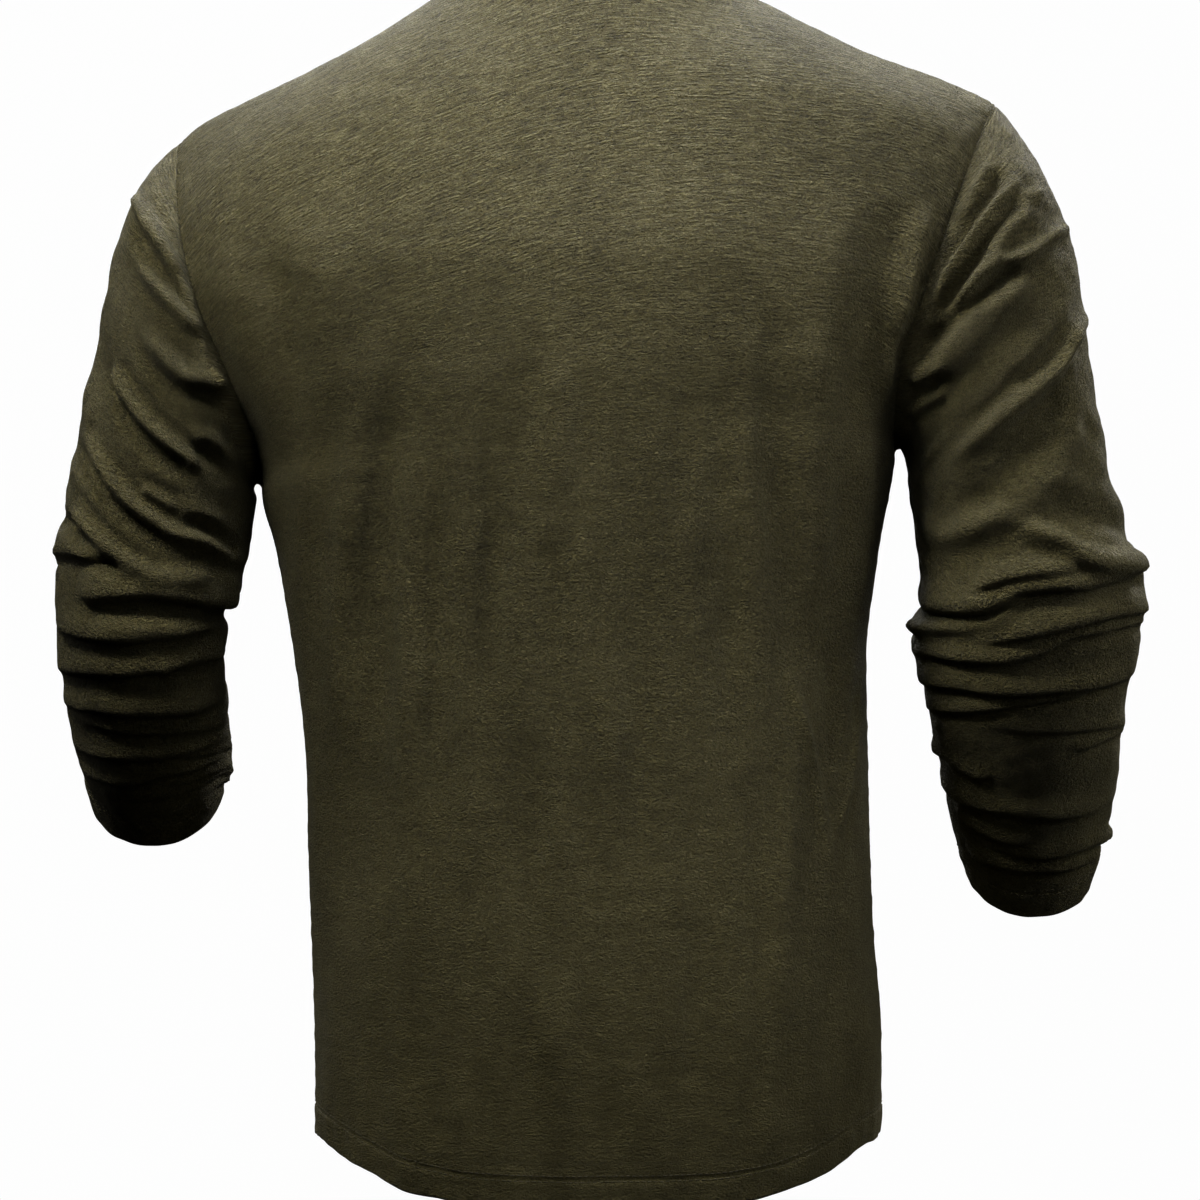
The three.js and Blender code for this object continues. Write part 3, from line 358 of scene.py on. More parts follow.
CREASES_BACK = (
    ("ridge", 1.29, 10.0, ((102, -176), (123, -230), (133, -275), (140, -320), (145, -383), (143, -439), (145, -530))),
    ("trough", 0.72, 8.0, ((94, -190), (112, -258), (117, -315), (124, -360), (128, -417), (130, -473), (132, -547))),
    ("trough", 2.64, 13, ((191, -142), (177, -190), (170, -235), (167, -275))),
    ("ridge", 1.5, 8.0, ((102, -337), (104, -394), (106, -451), (105, -519), (108, -587))),
    ("trough", 1.26, 8.0, ((84, -258), (88, -326), (90, -405), (89, -473))),
    ("ridge", 1.26, 9.0, ((22, -224), (24, -286), (27, -337))),
    ("trough", 1.05, 8.0, ((54, -235), (56, -303), (55, -383))),
    ("ridge", 1.2, 8.0, ((-7, -264), (-10, -303), (-11, -371), (-9, -439), (-6, -519))),
    ("ridge", 1.26, 9.0, ((71, -383), (69, -451), (71, -530))),
    ("trough", 1.26, 9.0, ((37, -417), (38, -485), (35, -564))),
    ("trough", 0.45, 7.5, ((-27, -247), (-28, -315), (-29, -371), (-27, -439), (-25, -507))),
    ("ridge", 1.71, 8.0, ((-53, -269), (-54, -349), (-54, -417), (-52, -502))),
    ("trough", 0.95, 7.0, ((-66, -196), (-70, -269), (-72, -326), (-75, -388), (-74, -462))),
    ("ridge", 1.1, 7.0, ((-81, -179), (-86, -247), (-88, -298), (-92, -354), (-96, -411))),
    ("trough", 0.5, 8.0, ((-103, -196), (-104, -264), (-102, -320))),
    ("ridge", 1.3, 12.0, ((-123, -190), (-126, -247), (-123, -315), (-116, -383))),
    ("trough", 2.31, 15, ((-169, -130), (-162, -156), (-155, -201), (-149, -241), (-145, -275))),
    ("ridge", 2.09, 7.0, ((-189, -133), (-176, -184), (-169, -218), (-164, -252))),
    ("ridge", 1.12, 3.6, ((-105, -383), (-114, -420), (-124, -455), (-130, -490), (-137, -527))),
    ("ridge", 1.12, 3.6, ((-153, -388), (-148, -442), (-141, -475), (-133, -512))),
    ("trough", 1.12, 9.0, ((-134, -383), (-134, -417), (-134, -462))),
    ("ridge", 1.26, 10.0, ((-26, -519), (-30, -575), (-26, -632), (-27, -705))),
    ("trough", 0.6, 9.0, ((-54, -530), (-56, -587), (-53, -638))),
    ("ridge", 1.26, 9.0, ((20, -547), (24, -604), (22, -649), (23, -710))),
    ("ridge", 0.98, 10.0, ((-99, -473), (-102, -541), (-97, -609), (-95, -700))),
    ("trough", 0.6, 8.0, ((99, -592), (94, -632), (84, -666))),
)
CREASES_FRONT = (
    ("trough", 3.0, 15, ((150, -205), (118, -245), (84, -262))),
    ("ridge", 2.4, 13, ((158, -236), (126, -282), (96, -312))),
    ("trough", 2.6, 15, ((-148, -200), (-118, -232), (-88, -246))),
    ("ridge", 2.2, 13, ((-156, -222), (-128, -266), (-100, -296))),
    ("ridge", 1.6, 10, ((66, -330), (74, -430), (70, -520))),
    ("ridge", 1.5, 11, ((-22, -350), (-30, -450), (-24, -560))),
    ("trough", 1.6, 10, ((24, -400), (32, -500), (28, -610))),
    ("trough", 1.8, 11, ((-104, -380), (-112, -480), (-106, -590))),
    ("ridge", 1.5, 9, ((118, -480), (126, -560), (124, -640))),
    ("ridge", 1.4, 9, ((-70, -520), (-76, -600), (-70, -670))),
    ("ridge", 2.0, 5, ((-140, -400), (-146, -450), (-142, -520))),
    ("trough", 1.5, 7, ((146, -340), (152, -400), (150, -470))),
    ("ridge", 1.4, 9, ((30, -178), (44, -206), (70, -226))),
    ("ridge", 1.4, 9, ((-32, -180), (-46, -210), (-74, -232))),
)


def taper(share, end=0.16):
    return smoothstep(0, end, share) * smoothstep(0, end, 1 - share)


def drawn(points, step):
    """Points every step mm along a smooth line through points."""
    points = np.asarray(points, float)
    if len(points) == 2:
        points = np.insert(points, 1, points.mean(0), 0)
    s = np.append(0, np.cumsum(np.linalg.norm(np.diff(points, axis=0), axis=1)))
    return cubic(s, points, np.linspace(0, s[-1], max(4, int(s[-1] / step) + 1)))


def crease_fields(places, down, lines):
    """How far the creases push each place out, and slide it down the cloth, in mm."""
    flat, way = places.reshape(-1, 3), down.reshape(-1, 3)
    out, slide = np.zeros(len(flat)), np.zeros(len(flat))
    for number, (kind, size, wide, line) in enumerate(lines):
        reach = 3.8 * wide
        at = np.nonzero(((flat > line.min(0) - reach) & (flat < line.max(0) + reach)).all(1))[0]
        if not len(at):
            continue
        a, ab = line[:-1], np.diff(line, axis=0)
        rel = flat[at][:, None] - a
        along = np.clip((rel * ab).sum(2) / (ab * ab).sum(1), 0, 1)
        off = rel - along[..., None] * ab
        far = (off * off).sum(2)
        k = far.argmin(1)
        row = np.arange(len(at))
        d = np.sqrt(far[row, k]) / wide
        share = (k + along[row, k]) / len(a)
        side = np.copysign(d, (off[row, k] * way[at]).sum(1))
        length = np.linalg.norm(ab, axis=1).sum()
        uneven = 1 + 0.16 * np.sin(share * length / 17 + 2.4 * number) + 0.1 * np.sin(share * length / 7.3 + 1.1 * number)
        size = size * taper(share, 0.34 if length > 130 else 0.16) * uneven
        if kind == "lip":
            # A roll that hangs a little over the crease below it.
            high = np.exp(-(((side + 0.5) / 1.6) ** 2))
            low = -0.62 * np.exp(-(((side - 0.55) / 1.0) ** 2))
            blend = 1 - smoothstep(-0.5, 0.55, side)
            shape = np.where(side < -0.5, high, np.where(side > 0.55, low, blend * 1.0 + (1 - blend) * -0.62))
            out[at] += size * shape
            slide[at] += 0.42 * size * np.exp(-(((side + 0.25) / 0.7) ** 2))
        else:
            sign = 1 if kind == "ridge" else -1
            core = np.exp(-(d ** (2 if kind == "ridge" else 1.7)))
            out[at] += sign * size * (core - 0.3 * np.exp(-(((d - 2.1) / 0.95) ** 2)))
    return out.reshape(places.shape[:-1]), slide.reshape(places.shape[:-1])


def ripple(places, seed, waves, count=26):
    """Uneven soft noise, -1 to 1, with wavelengths from waves[0] to waves[1] mm."""
    rng = np.random.default_rng(seed)
    total = np.zeros(places.shape[:-1])
    for _ in range(count):
        way = rng.normal(size=3)
        way *= 2 * math.pi / (np.linalg.norm(way) * rng.uniform(*waves))
        total += np.sin(places @ way + rng.uniform(0, 2 * math.pi))
    return total / math.sqrt(count / 2) / 1.6


def steps(total, *parts):
    """Places along a length: parts are (until, step) in mm, the last one ending at total."""
    out, start = [0.0], 0.0
    for until, step in parts:
        n = max(1, round((until - start) / step))
        out += list(start + (until - start) * np.arange(1, n + 1) / n)
        start = until
    return np.array(out) / total


def grid_normals(p, closed):
    """Normals of a grid of points (rows, columns)."""
    rows = np.gradient(p, axis=0)
    if closed:
        cols = (np.roll(p, -1, 1) - np.roll(p, 1, 1)) / 2
    else:
        cols = np.gradient(p, axis=1)
    return unit(np.cross(cols, rows))


def read_grid(g, i, j, closed=False):
    """Values of a grid at fractional rows i and columns j."""
    rows, cols = g.shape[:2]
    i = np.clip(i, 0, rows - 1 - 1e-9)
    i0 = i.astype(int)
    if closed:
        j = np.mod(j, cols)
        j0 = j.astype(int) % cols
        j1 = (j0 + 1) % cols
    else:
        j = np.clip(j, 0, cols - 1 - 1e-9)
        j0 = j.astype(int)
        j1 = j0 + 1
    a, b = (i - i0)[:, None], (j - np.floor(j))[:, None]
    return ((g[i0, j0] * (1 - b) + g[i0, j1] * b) * (1 - a) + (g[i0 + 1, j0] * (1 - b) + g[i0 + 1, j1] * b) * a)


# ---------------------------------------------------------------- meshes
def new_object(name, verts, faces, uv=None, smooth=True):
    """A mesh object in metres from verts in mm, with a UV map in mm for the cloth's own grain."""
    me = bpy.data.meshes.new(name)
    me.from_pydata((np.asarray(verts) / 1000).tolist(), [], faces if isinstance(faces, list) else faces.tolist())
    if uv is not None:
        layer = me.uv_layers.new(name="grain")
        layer.uv.foreach_set("vector", np.asarray(uv, np.float32).ravel())
    me.validate()
    me.update()
    me.polygons.foreach_set("use_smooth", [smooth] * len(me.polygons))
    ob = bpy.data.objects.new(name, me)
    bpy.context.scene.collection.objects.link(ob)
    return ob


def shell(name, outer, inner, u, v, closed=False, keep=None, flip=False):
    """A closed thin shell between two grids of points. u, v are the cloth's own mm at each grid point."""
    rows, cols = outer.shape[:2]
    span = cols if closed else cols - 1
    i, j = np.meshgrid(np.arange(rows - 1), np.arange(span), indexing="ij")
    if keep is not None:
        i, j = i[keep], j[keep]
    i, j = i.ravel(), j.ravel()
    j1 = (j + 1) % cols
    quads = np.stack([i * cols + j, i * cols + j1, (i + 1) * cols + j1, (i + 1) * cols + j], 1)
    if closed:
        corner = [(i, j), (i, j + 1), (i + 1, j + 1), (i + 1, j)]
        uv = np.stack([np.stack([u[a, b], v[a, b]], -1) for a, b in corner], 1)
    else:
        uv = np.stack([np.stack([u[a, b], v[a, b]], -1) for a, b in ((i, j), (i, j1), (i + 1, j1), (i + 1, j))], 1)
    n = rows * cols
    if flip:
        quads, uv = quads[:, ::-1], uv[:, ::-1]
    # Rim: every directed edge with no opposite.
    edges = np.concatenate([np.stack([quads[:, k], quads[:, (k + 1) % 4]], 1) for k in range(4)])
    uvs = np.concatenate([np.stack([uv[:, k], uv[:, (k + 1) % 4]], 1) for k in range(4)])
    code, back = edges[:, 0] * n + edges[:, 1], edges[:, 1] * n + edges[:, 0]
    rim = ~np.isin(code, back)
    e, w = edges[rim], uvs[rim]
    rim_quads = np.stack([e[:, 1], e[:, 0], e[:, 0] + n, e[:, 1] + n], 1)
    rim_uv = np.stack([w[:, 1], w[:, 0], w[:, 0] + (0, 1), w[:, 1] + (0, 1)], 1)
    faces = np.concatenate([quads, quads[:, ::-1] + n, rim_quads])
    verts = np.concatenate([outer.reshape(-1, 3), inner.reshape(-1, 3)])
    used = np.unique(faces)
    renumber = np.zeros(len(verts), int)
    renumber[used] = np.arange(len(used))
    return new_object(name, verts[used], renumber[faces], np.concatenate([uv, uv[:, ::-1], rim_uv]))


def threads(name, paths, long=2.7, gap=0.7, radius=0.3, sink=0.05):
    """Sewing stitches along paths: each path is (points, normals) on the cloth, in mm."""
    verts, faces = [], []
    base = 0
    sides = 6
    ring = np.array([(math.cos(2 * math.pi * k / sides), math.sin(2 * math.pi * k / sides)) for k in range(sides)])
    shares = np.array([0, 0.14, 0.5, 0.86, 1.0])
    fat = np.array([0.35, 0.85, 1.0, 0.85, 0.35])
    lift = np.array([-0.5, 0.1, 0.45, 0.1, -0.5])
    for points, normals in paths:
        s = np.append(0, np.cumsum(np.linalg.norm(np.diff(points, axis=0), axis=1)))
        count = int(s[-1] / (long + gap))
        if count < 1:
            continue
        start = (s[-1] - count * (long + gap) + gap) / 2 + np.arange(count) * (long + gap)
        at = start[:, None] + shares * long
        p = np.stack([np.interp(at, s, points[:, k]) for k in range(3)], -1)
        nrm = unit(np.stack([np.interp(at, s, normals[:, k]) for k in range(3)], -1))
        along = unit(np.gradient(p, axis=1))
        across = unit(np.cross(along, nrm))
        centre = p + nrm * (radius * lift - sink)[None, :, None]
        body = (centre[:, :, None] + radius * fat[None, :, None, None]
                * (across[:, :, None] * ring[None, None, :, :1] + nrm[:, :, None] * ring[None, None, :, 1:]))
        m = count * len(shares) * sides
        verts.append(body.reshape(-1, 3))
        c, r, k = np.meshgrid(np.arange(count), np.arange(len(shares) - 1), np.arange(sides), indexing="ij")
        a = base + (c * len(shares) + r) * sides
        q = np.stack([a + k, a + (k + 1) % sides, a + sides + (k + 1) % sides, a + sides + k], -1).reshape(-1, 4)
        faces += q.tolist()
        for c in range(count):
            first = base + c * len(shares) * sides
            last = first + (len(shares) - 1) * sides
            faces.append([first + k for k in reversed(range(sides))])
            faces.append([last + k for k in range(sides)])
        base += m
    ob = new_object(name, np.concatenate(verts), faces)
    return ob


# ---------------------------------------------------------------- panels
CLOTH = 1.1         # shown thickness of one layer
GAP = 0.04          # shown gap between pieces at a seam
BODY_HEM, CUFF_HEM = 16.0, 18.0


# Broad roundings that a body under the cloth gives it: x, z, half width, half height, out.
FORM = {
    1: ((12, -330, 62, 260, 3.0),),
    -1: ((78, -190, 80, 75, 3.0), (-72, -188, 80, 75, 3.0), (4, -420, 60, 220, 2.5)),
}


def panel_lines(panel, base, table):
    """Crease lines given as (x, z) on a panel, as places on its surface."""
    flat = base.reshape(-1, 3)
    out = []
    for kind, size, wide, points in table:
        line = drawn(points, 4)
        near = [flat[((flat[:, ::2] - p) ** 2).sum(1).argmin()] for p in line]
        line3 = np.array([(p[0], q[1], p[1]) for p, q in zip(line, near)])
        if len(line3) > 4:
            line3[1:-1, 1] = (line3[:-2, 1] + 2 * line3[1:-1, 1] + line3[2:, 1]) / 4
        out.append((kind, size, wide, line3))
    return out


def drapes(places, seed, count=16):
    """Slight upright drapes, uneven in place, width, depth and length, in mm."""
    rng = np.random.default_rng(seed)
    x, z = places[..., 0], places[..., 2]
    total = np.zeros(x.shape)
    for _ in range(count):
        wave = rng.uniform(15, 40)
        bend = 1.1 * np.sin(z / rng.uniform(55, 130) + rng.uniform(0, 6.28))
        swell = 0.5 + 0.5 * np.sin(z / rng.uniform(45, 110) + x / rng.uniform(60, 160) + rng.uniform(0, 6.28))
        total += 0.0125 * wave * swell * np.sin(2 * math.pi * (x + rng.uniform(-0.12, 0.12) * z) / wave + bend + rng.uniform(0, 6.28))
    return total


def make_panel(name, node, panel, table, seed):
    total = KNOTS[panel][-1]
    k = steps(total, (BODY_HEM + 4, 1.15), (total - 8, 3.0), (total, 1.6)) * total
    half = steps(1.0, (0.955, 0.0122), (1.0, 0.0056))
    u = np.concatenate([-half[::-1], half[1:]])
    v = v_of(panel, k)
    v[-1] = ROWS
    base = body(panel, u * (1 - 0.0002), v)
    base[-1, np.abs(u) > NECK_SHARE - 0.01, 1] += panel * GAP / 2
    n = grid_normals(base, False)
    if (n[..., 1] * panel).mean() < 0:
        n = -n
    down = unit(-np.gradient(base, axis=0))
    across = np.linalg.norm(np.gradient(base, axis=1), axis=-1)
    side = np.cumsum(across, axis=1) - across[:, :1]
    width = side[:, -1:]
    edge = np.minimum(side, width - side)
    foot = np.cumsum(np.linalg.norm(np.gradient(base, axis=0), axis=-1), axis=0)
    foot -= foot[:1]
    top = foot[-1:] - foot
    # Creases as listed, fading towards the seams.
    out, slide = crease_fields(base, down, panel_lines(panel, base, table))
    out = (2.2 if panel > 0 else 1.4) * out
    fade = smoothstep(2, 16, edge) * smoothstep(3, 20, top) * (0.35 + 0.65 * smoothstep(0, 40, foot))
    out, slide = out * fade, slide * fade
    out += 0.45 * ripple(base, seed, (45, 120)) * smoothstep(0, 10, edge)
    out += 0.17 * ripple(base * (0.5, 1, 1.15), seed + 1, (10, 22), 60) * smoothstep(0, 6, edge)
    # Many slight drapes hanging from the shoulders, more of them lower down.
    out += drapes(base, seed + 2) * smoothstep(-130, -320, base[..., 2]) * smoothstep(2, 16, edge) * (0.45 + 0.55 * smoothstep(0, 60, foot))
    for x, z, wide, tall, size in FORM[panel]:
        out += size * np.exp(-(((base[..., 0] - x) / wide) ** 2) - ((base[..., 2] - z) / tall) ** 2) * smoothstep(2, 24, edge) * smoothstep(3, 24, top)
    if panel < 0:
        # Flat under the placket strips.
        out *= 1 - (1 - smoothstep(17, 45, np.abs(base[..., 0]))) * (1 - smoothstep(PLACKET_L + 8, PLACKET_L + 45, top))
    # Puckers beside the seams, and the seam itself as a valley.
    seam = np.exp(-edge / 7) * (0.28 * np.sin(foot / 1.75 + 1.6 * np.sin(foot / 23)) + 0.22 * np.sin(foot / 3.1 + 2))
    out += seam * smoothstep(0.4, 3, edge)
    out -= 0.5 * np.exp(-(((edge - 1.2) / 1.2) ** 2)) * smoothstep(0, 1.1, edge)
    shoulder = np.abs(u)[None, :] > NECK_SHARE
    out -= np.where(shoulder, 0.6, 0.3) * np.exp(-(((top - 1) / 1.8) ** 2)) * smoothstep(0, 1, top)
    out += np.where(shoulder, 0.25, 0.12) * np.sin(side / 1.9 + 1.3 * np.sin(side / 19)) * np.exp(-top / 6) * smoothstep(0.4, 3, top)
    # Turned-up hem: doubled cloth under a stitched groove that draws it in.
    hem = 1 - smoothstep(BODY_HEM - 1.2, BODY_HEM + 0.6, foot)
    pull = np.sin(side / 2.3 + 2.2 * np.sin(side / 31)) * 0.5 + np.sin(side / 5.9 + 1.7 * np.sin(side / 47)) * 0.5
    out += 0.35 * hem * smoothstep(0, 3, edge) + 0.85 * pull * hem * np.exp(-((foot - 8) / 9) ** 2) * smoothstep(0, 8, edge)
    out += 0.5 * pull * np.exp(-(((foot - BODY_HEM - 4) / 6) ** 2)) * smoothstep(0, 8, edge)
    out -= 0.5 * np.exp(-(((foot - BODY_HEM) / 1.1) ** 2))
    place = base + n * out[..., None] + down * slide[..., None]
    place[..., 2] += 0.7 * np.sin(side / 9.5 + 1.9 * np.sin(side / 53)) * np.exp(-foot / 9) * smoothstep(0, 12, edge)
    # The inner face follows the outer one, flat in the seams' own plane.
    back_off = n.copy()
    flat = np.maximum((1 - smoothstep(0, 9, top)) * shoulder, (1 - smoothstep(0, 9, edge)) * (v <= ARMPIT_ROW)[:, None])
    back_off[..., 1] *= 1 - flat
    back_off = unit(back_off)
    thick = CLOTH + 0.95 * hem
    inner = place - back_off * thick[..., None]
    # The cloth's own mm: streaks climb a little towards the -x side on the +x half.
    lean = 0.42 * np.where(panel > 0, np.log1p(np.exp((base[..., 0] + 10) / 40)) * 40, 0)
    gu, gv = side - width / 2, foot + base[:1, :, 2] + lean * smoothstep(-340, -150, base[..., 2])
    keep = None
    if panel < 0:
        slit = np.abs(base[:-1, :-1, 0] + base[1:, 1:, 0]) / 2 < 12
        low = KNOTS[panel][-1] - (PLACKET_L - 4)
        start = np.searchsorted(k, low)
        keep = np.ones((len(k) - 1, len(u) - 1), bool)
        keep[start:] &= ~slit[start:]
    ob = shell(name, place, inner, gu, gv, keep=keep, flip=panel > 0)
    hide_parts(node)
    return ob, {"place": place, "n": n, "foot": foot, "side": side, "u": u, "v": v, "base": base}


back_cloth, BACK_GRID = make_panel("back_cloth", "back_panel", 1, CREASES_BACK, 11)
front_cloth, FRONT_GRID = make_panel("front_cloth", "front_panel", -1, CREASES_FRONT, 23)


# ---------------------------------------------------------------- sleeves
def sleeve_creases(base, turns, shares, table, drift):
    """Crease lines on a sleeve as places, with their like on the side away from the photograph."""
    def where(points):
        line = drawn([(a * 160.0, t * 400.0) for a, t in points], 4)
        a, t = line[:, 0] / 160.0, line[:, 1] / 400.0
        i = np.interp(np.clip(t, 0, 1), shares, np.arange(len(shares)))
        j = (np.mod(a + 1, 2)) / 2 * len(turns)
        return read_grid(base, i, j, True)
    out = []
    for number, (kind, size, wide, points) in enumerate(table):
        wide *= 0.86 if kind == "lip" else 0.78
        out.append((kind, size, wide, where(points)))
        wander = 0.014 * math.sin(2.7 * number + drift)
        far = [(2 - a + 0.05 * math.sin(1.9 * number + i), min(0.99, max(0.0, t + wander))) for i, (a, t) in enumerate(points)]
        out.append((kind, size * (0.85 + 0.2 * math.sin(3.3 * number)), wide * 1.1, where(far)))
    return out


def nearest_on(points, line):
    """The place on a line nearest to each point, and how far it is."""
    a, ab = line[:-1], np.diff(line, axis=0)
    rel = points[:, None] - a
    t = np.clip((rel * ab).sum(2) / np.maximum((ab * ab).sum(1), 1e-12), 0, 1)
    q = a + t[..., None] * ab
    d = np.linalg.norm(points[:, None] - q, axis=2)
    row = np.arange(len(points))
    k = d.argmin(1)
    return q[row, k], d[row, k]


def make_sleeve(name, node, side_sign, rows, table, seed, drift):
    ks, _ = sleeve_lines(side_sign, rows, np.linspace(0, 2, 9)[:-1])
    total = ks[-1]
    shares = steps(total, (5, 1.25), (total - CUFF_HEM - 4, 1.5), (total, 1.0))
    count = 150
    turns = -1 + 2 * np.arange(count) / count
    base, total = sleeve_surface(side_sign, rows, np.mod(turns, 2), shares)
    n = grid_normals(base, True)
    middle = base.mean(axis=1, keepdims=True)
    if ((base - middle) * n).sum(-1).mean() < 0:
        n = -n
    down = unit(np.gradient(base, axis=0))
    along = np.cumsum(np.linalg.norm(np.gradient(base, axis=0), axis=-1), axis=0)
    along -= along[:1]
    to_cuff = along[-1:] - along
    # The sleeve's first ring meets the panels' edges.
    column = -1 if side_sign > 0 else 0
    (qa, da), (qb, db) = (nearest_on(base[0], g["base"][:, column]) for g in (BACK_GRID, FRONT_GRID))
    near, gap = np.where((da < db)[:, None], qa, qb), np.minimum(da, db)
    base = base + ((near - base[0]) * np.clip(1 - 0.05 / np.maximum(gap, 1e-6), 0, 1)[:, None])[None] * (1 - smoothstep(0, 8, along))[..., None]
    round_ = np.cumsum(np.linalg.norm(np.roll(base, -1, 1) - base, axis=-1), axis=1)
    girth = round_[:, -1:]
    round_ = round_ - round_[:, :1]
    out, slide = crease_fields(base, down, sleeve_creases(base, turns, shares, table, drift))
    upper = 1 - smoothstep(0.4, 0.55, shares)[:, None]
    out = 10 * np.tanh((1.5 + 0.75 * upper) * out / 10)
    # The upper sleeve's outer edge stays nearly plain.
    out *= 1 - 0.85 * upper * np.exp(-((turns / 0.13) ** 2))[None, :]
    slide = 1.3 * slide
    fade = smoothstep(1.5, 14, along) * (0.3 + 0.7 * smoothstep(3, 26, to_cuff))
    # Against the body the folds lie flatter.
    under = np.abs(np.mod(turns + 1, 2) - 0) * 160
    under = np.minimum(under, 320 - under)[None, :]
    near_body = 1 - 0.75 * (1 - smoothstep(20, 60, under)) * (1 - smoothstep(0.3, 0.5, shares))[:, None]
    out, slide = out * fade * near_body, slide * fade * near_body
    out += 0.5 * ripple(base, seed, (26, 70)) * smoothstep(0, 14, along)
    out += 0.26 * ripple(base, seed + 1, (9, 20), 50) * smoothstep(0, 8, along)
    # Armhole: a valley with fine puckers on the sleeve's side.
    out -= 0.5 * np.exp(-(((along - 1.2) / 1.2) ** 2)) * smoothstep(0, 1.1, along)
    out += np.exp(-along / 9) * smoothstep(0.6, 3, along) * (0.3 * np.sin(round_ / 1.5 + 1.4 * np.sin(round_ / 27)) + 0.25 * np.sin(round_ / 3.7))
    # Underarm seam.
    out -= 0.7 * np.exp(-((under / 1.6) ** 2)) * smoothstep(0, 4, along)
    out += np.exp(-under / 6) * 0.2 * np.sin(along / 1.9 + np.sin(along / 17)) * smoothstep(0.6, 3, under)
    # Turned-up hem.
    hem = 1 - smoothstep(CUFF_HEM - 1.2, CUFF_HEM + 0.6, to_cuff)
    pull = np.sin(round_ / 1.9 + 2 * np.sin(round_ / 29)) * 0.5 + np.sin(round_ / 4.7 + 1.7 * np.sin(round_ / 37)) * 0.5
    out += 0.4 * hem + 0.5 * pull * np.exp(-(((to_cuff - CUFF_HEM) / 8) ** 2))
    out -= 0.5 * np.exp(-(((to_cuff - CUFF_HEM) / 1.1) ** 2))
    place = base + n * out[..., None] + down * slide[..., None]
    inner = place - n * (CLOTH + 0.9 * hem)[..., None]
    gu = np.concatenate([round_, girth], axis=1) * 1.0
    gv = -np.concatenate([to_cuff, to_cuff[:, :1]], axis=1)
    ob = shell(name, place, inner, gu + 900 * side_sign, gv, closed=True, flip=side_sign > 0)
    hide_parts(node)
    return ob, {"place": place, "n": n, "to_cuff": to_cuff, "along": along, "shares": shares, "turns": turns}


sleeve_left_cloth, LEFT_GRID = make_sleeve("sleeve_left_cloth", "sleeve_left", 1, SLEEVE_L, CREASES_L, 37, 0.4)
sleeve_right_cloth, RIGHT_GRID = make_sleeve("sleeve_right_cloth", "sleeve_right", -1, SLEEVE_R, CREASES_R, 53, 1.9)


# ---------------------------------------------------------------- neckband
def neck_frame(p):
    r = unit(np.stack([p[:, 0], p[:, 1] - NECK_AXIS_Y, np.zeros(len(p))], -1))
    s = r[:, 1]
    lean = np.radians(np.where(s > 0, LEAN["side"] + (LEAN["back"] - LEAN["side"]) * s, LEAN["side"] - (LEAN["front"] - LEAN["side"]) * s))[:, None]
    sin, cos = np.sin(lean), np.cos(lean)
    up = np.concatenate([-r[:, :2] * sin, cos], 1)
    out = np.concatenate([r[:, :2] * cos, sin], 1)
    return up, out


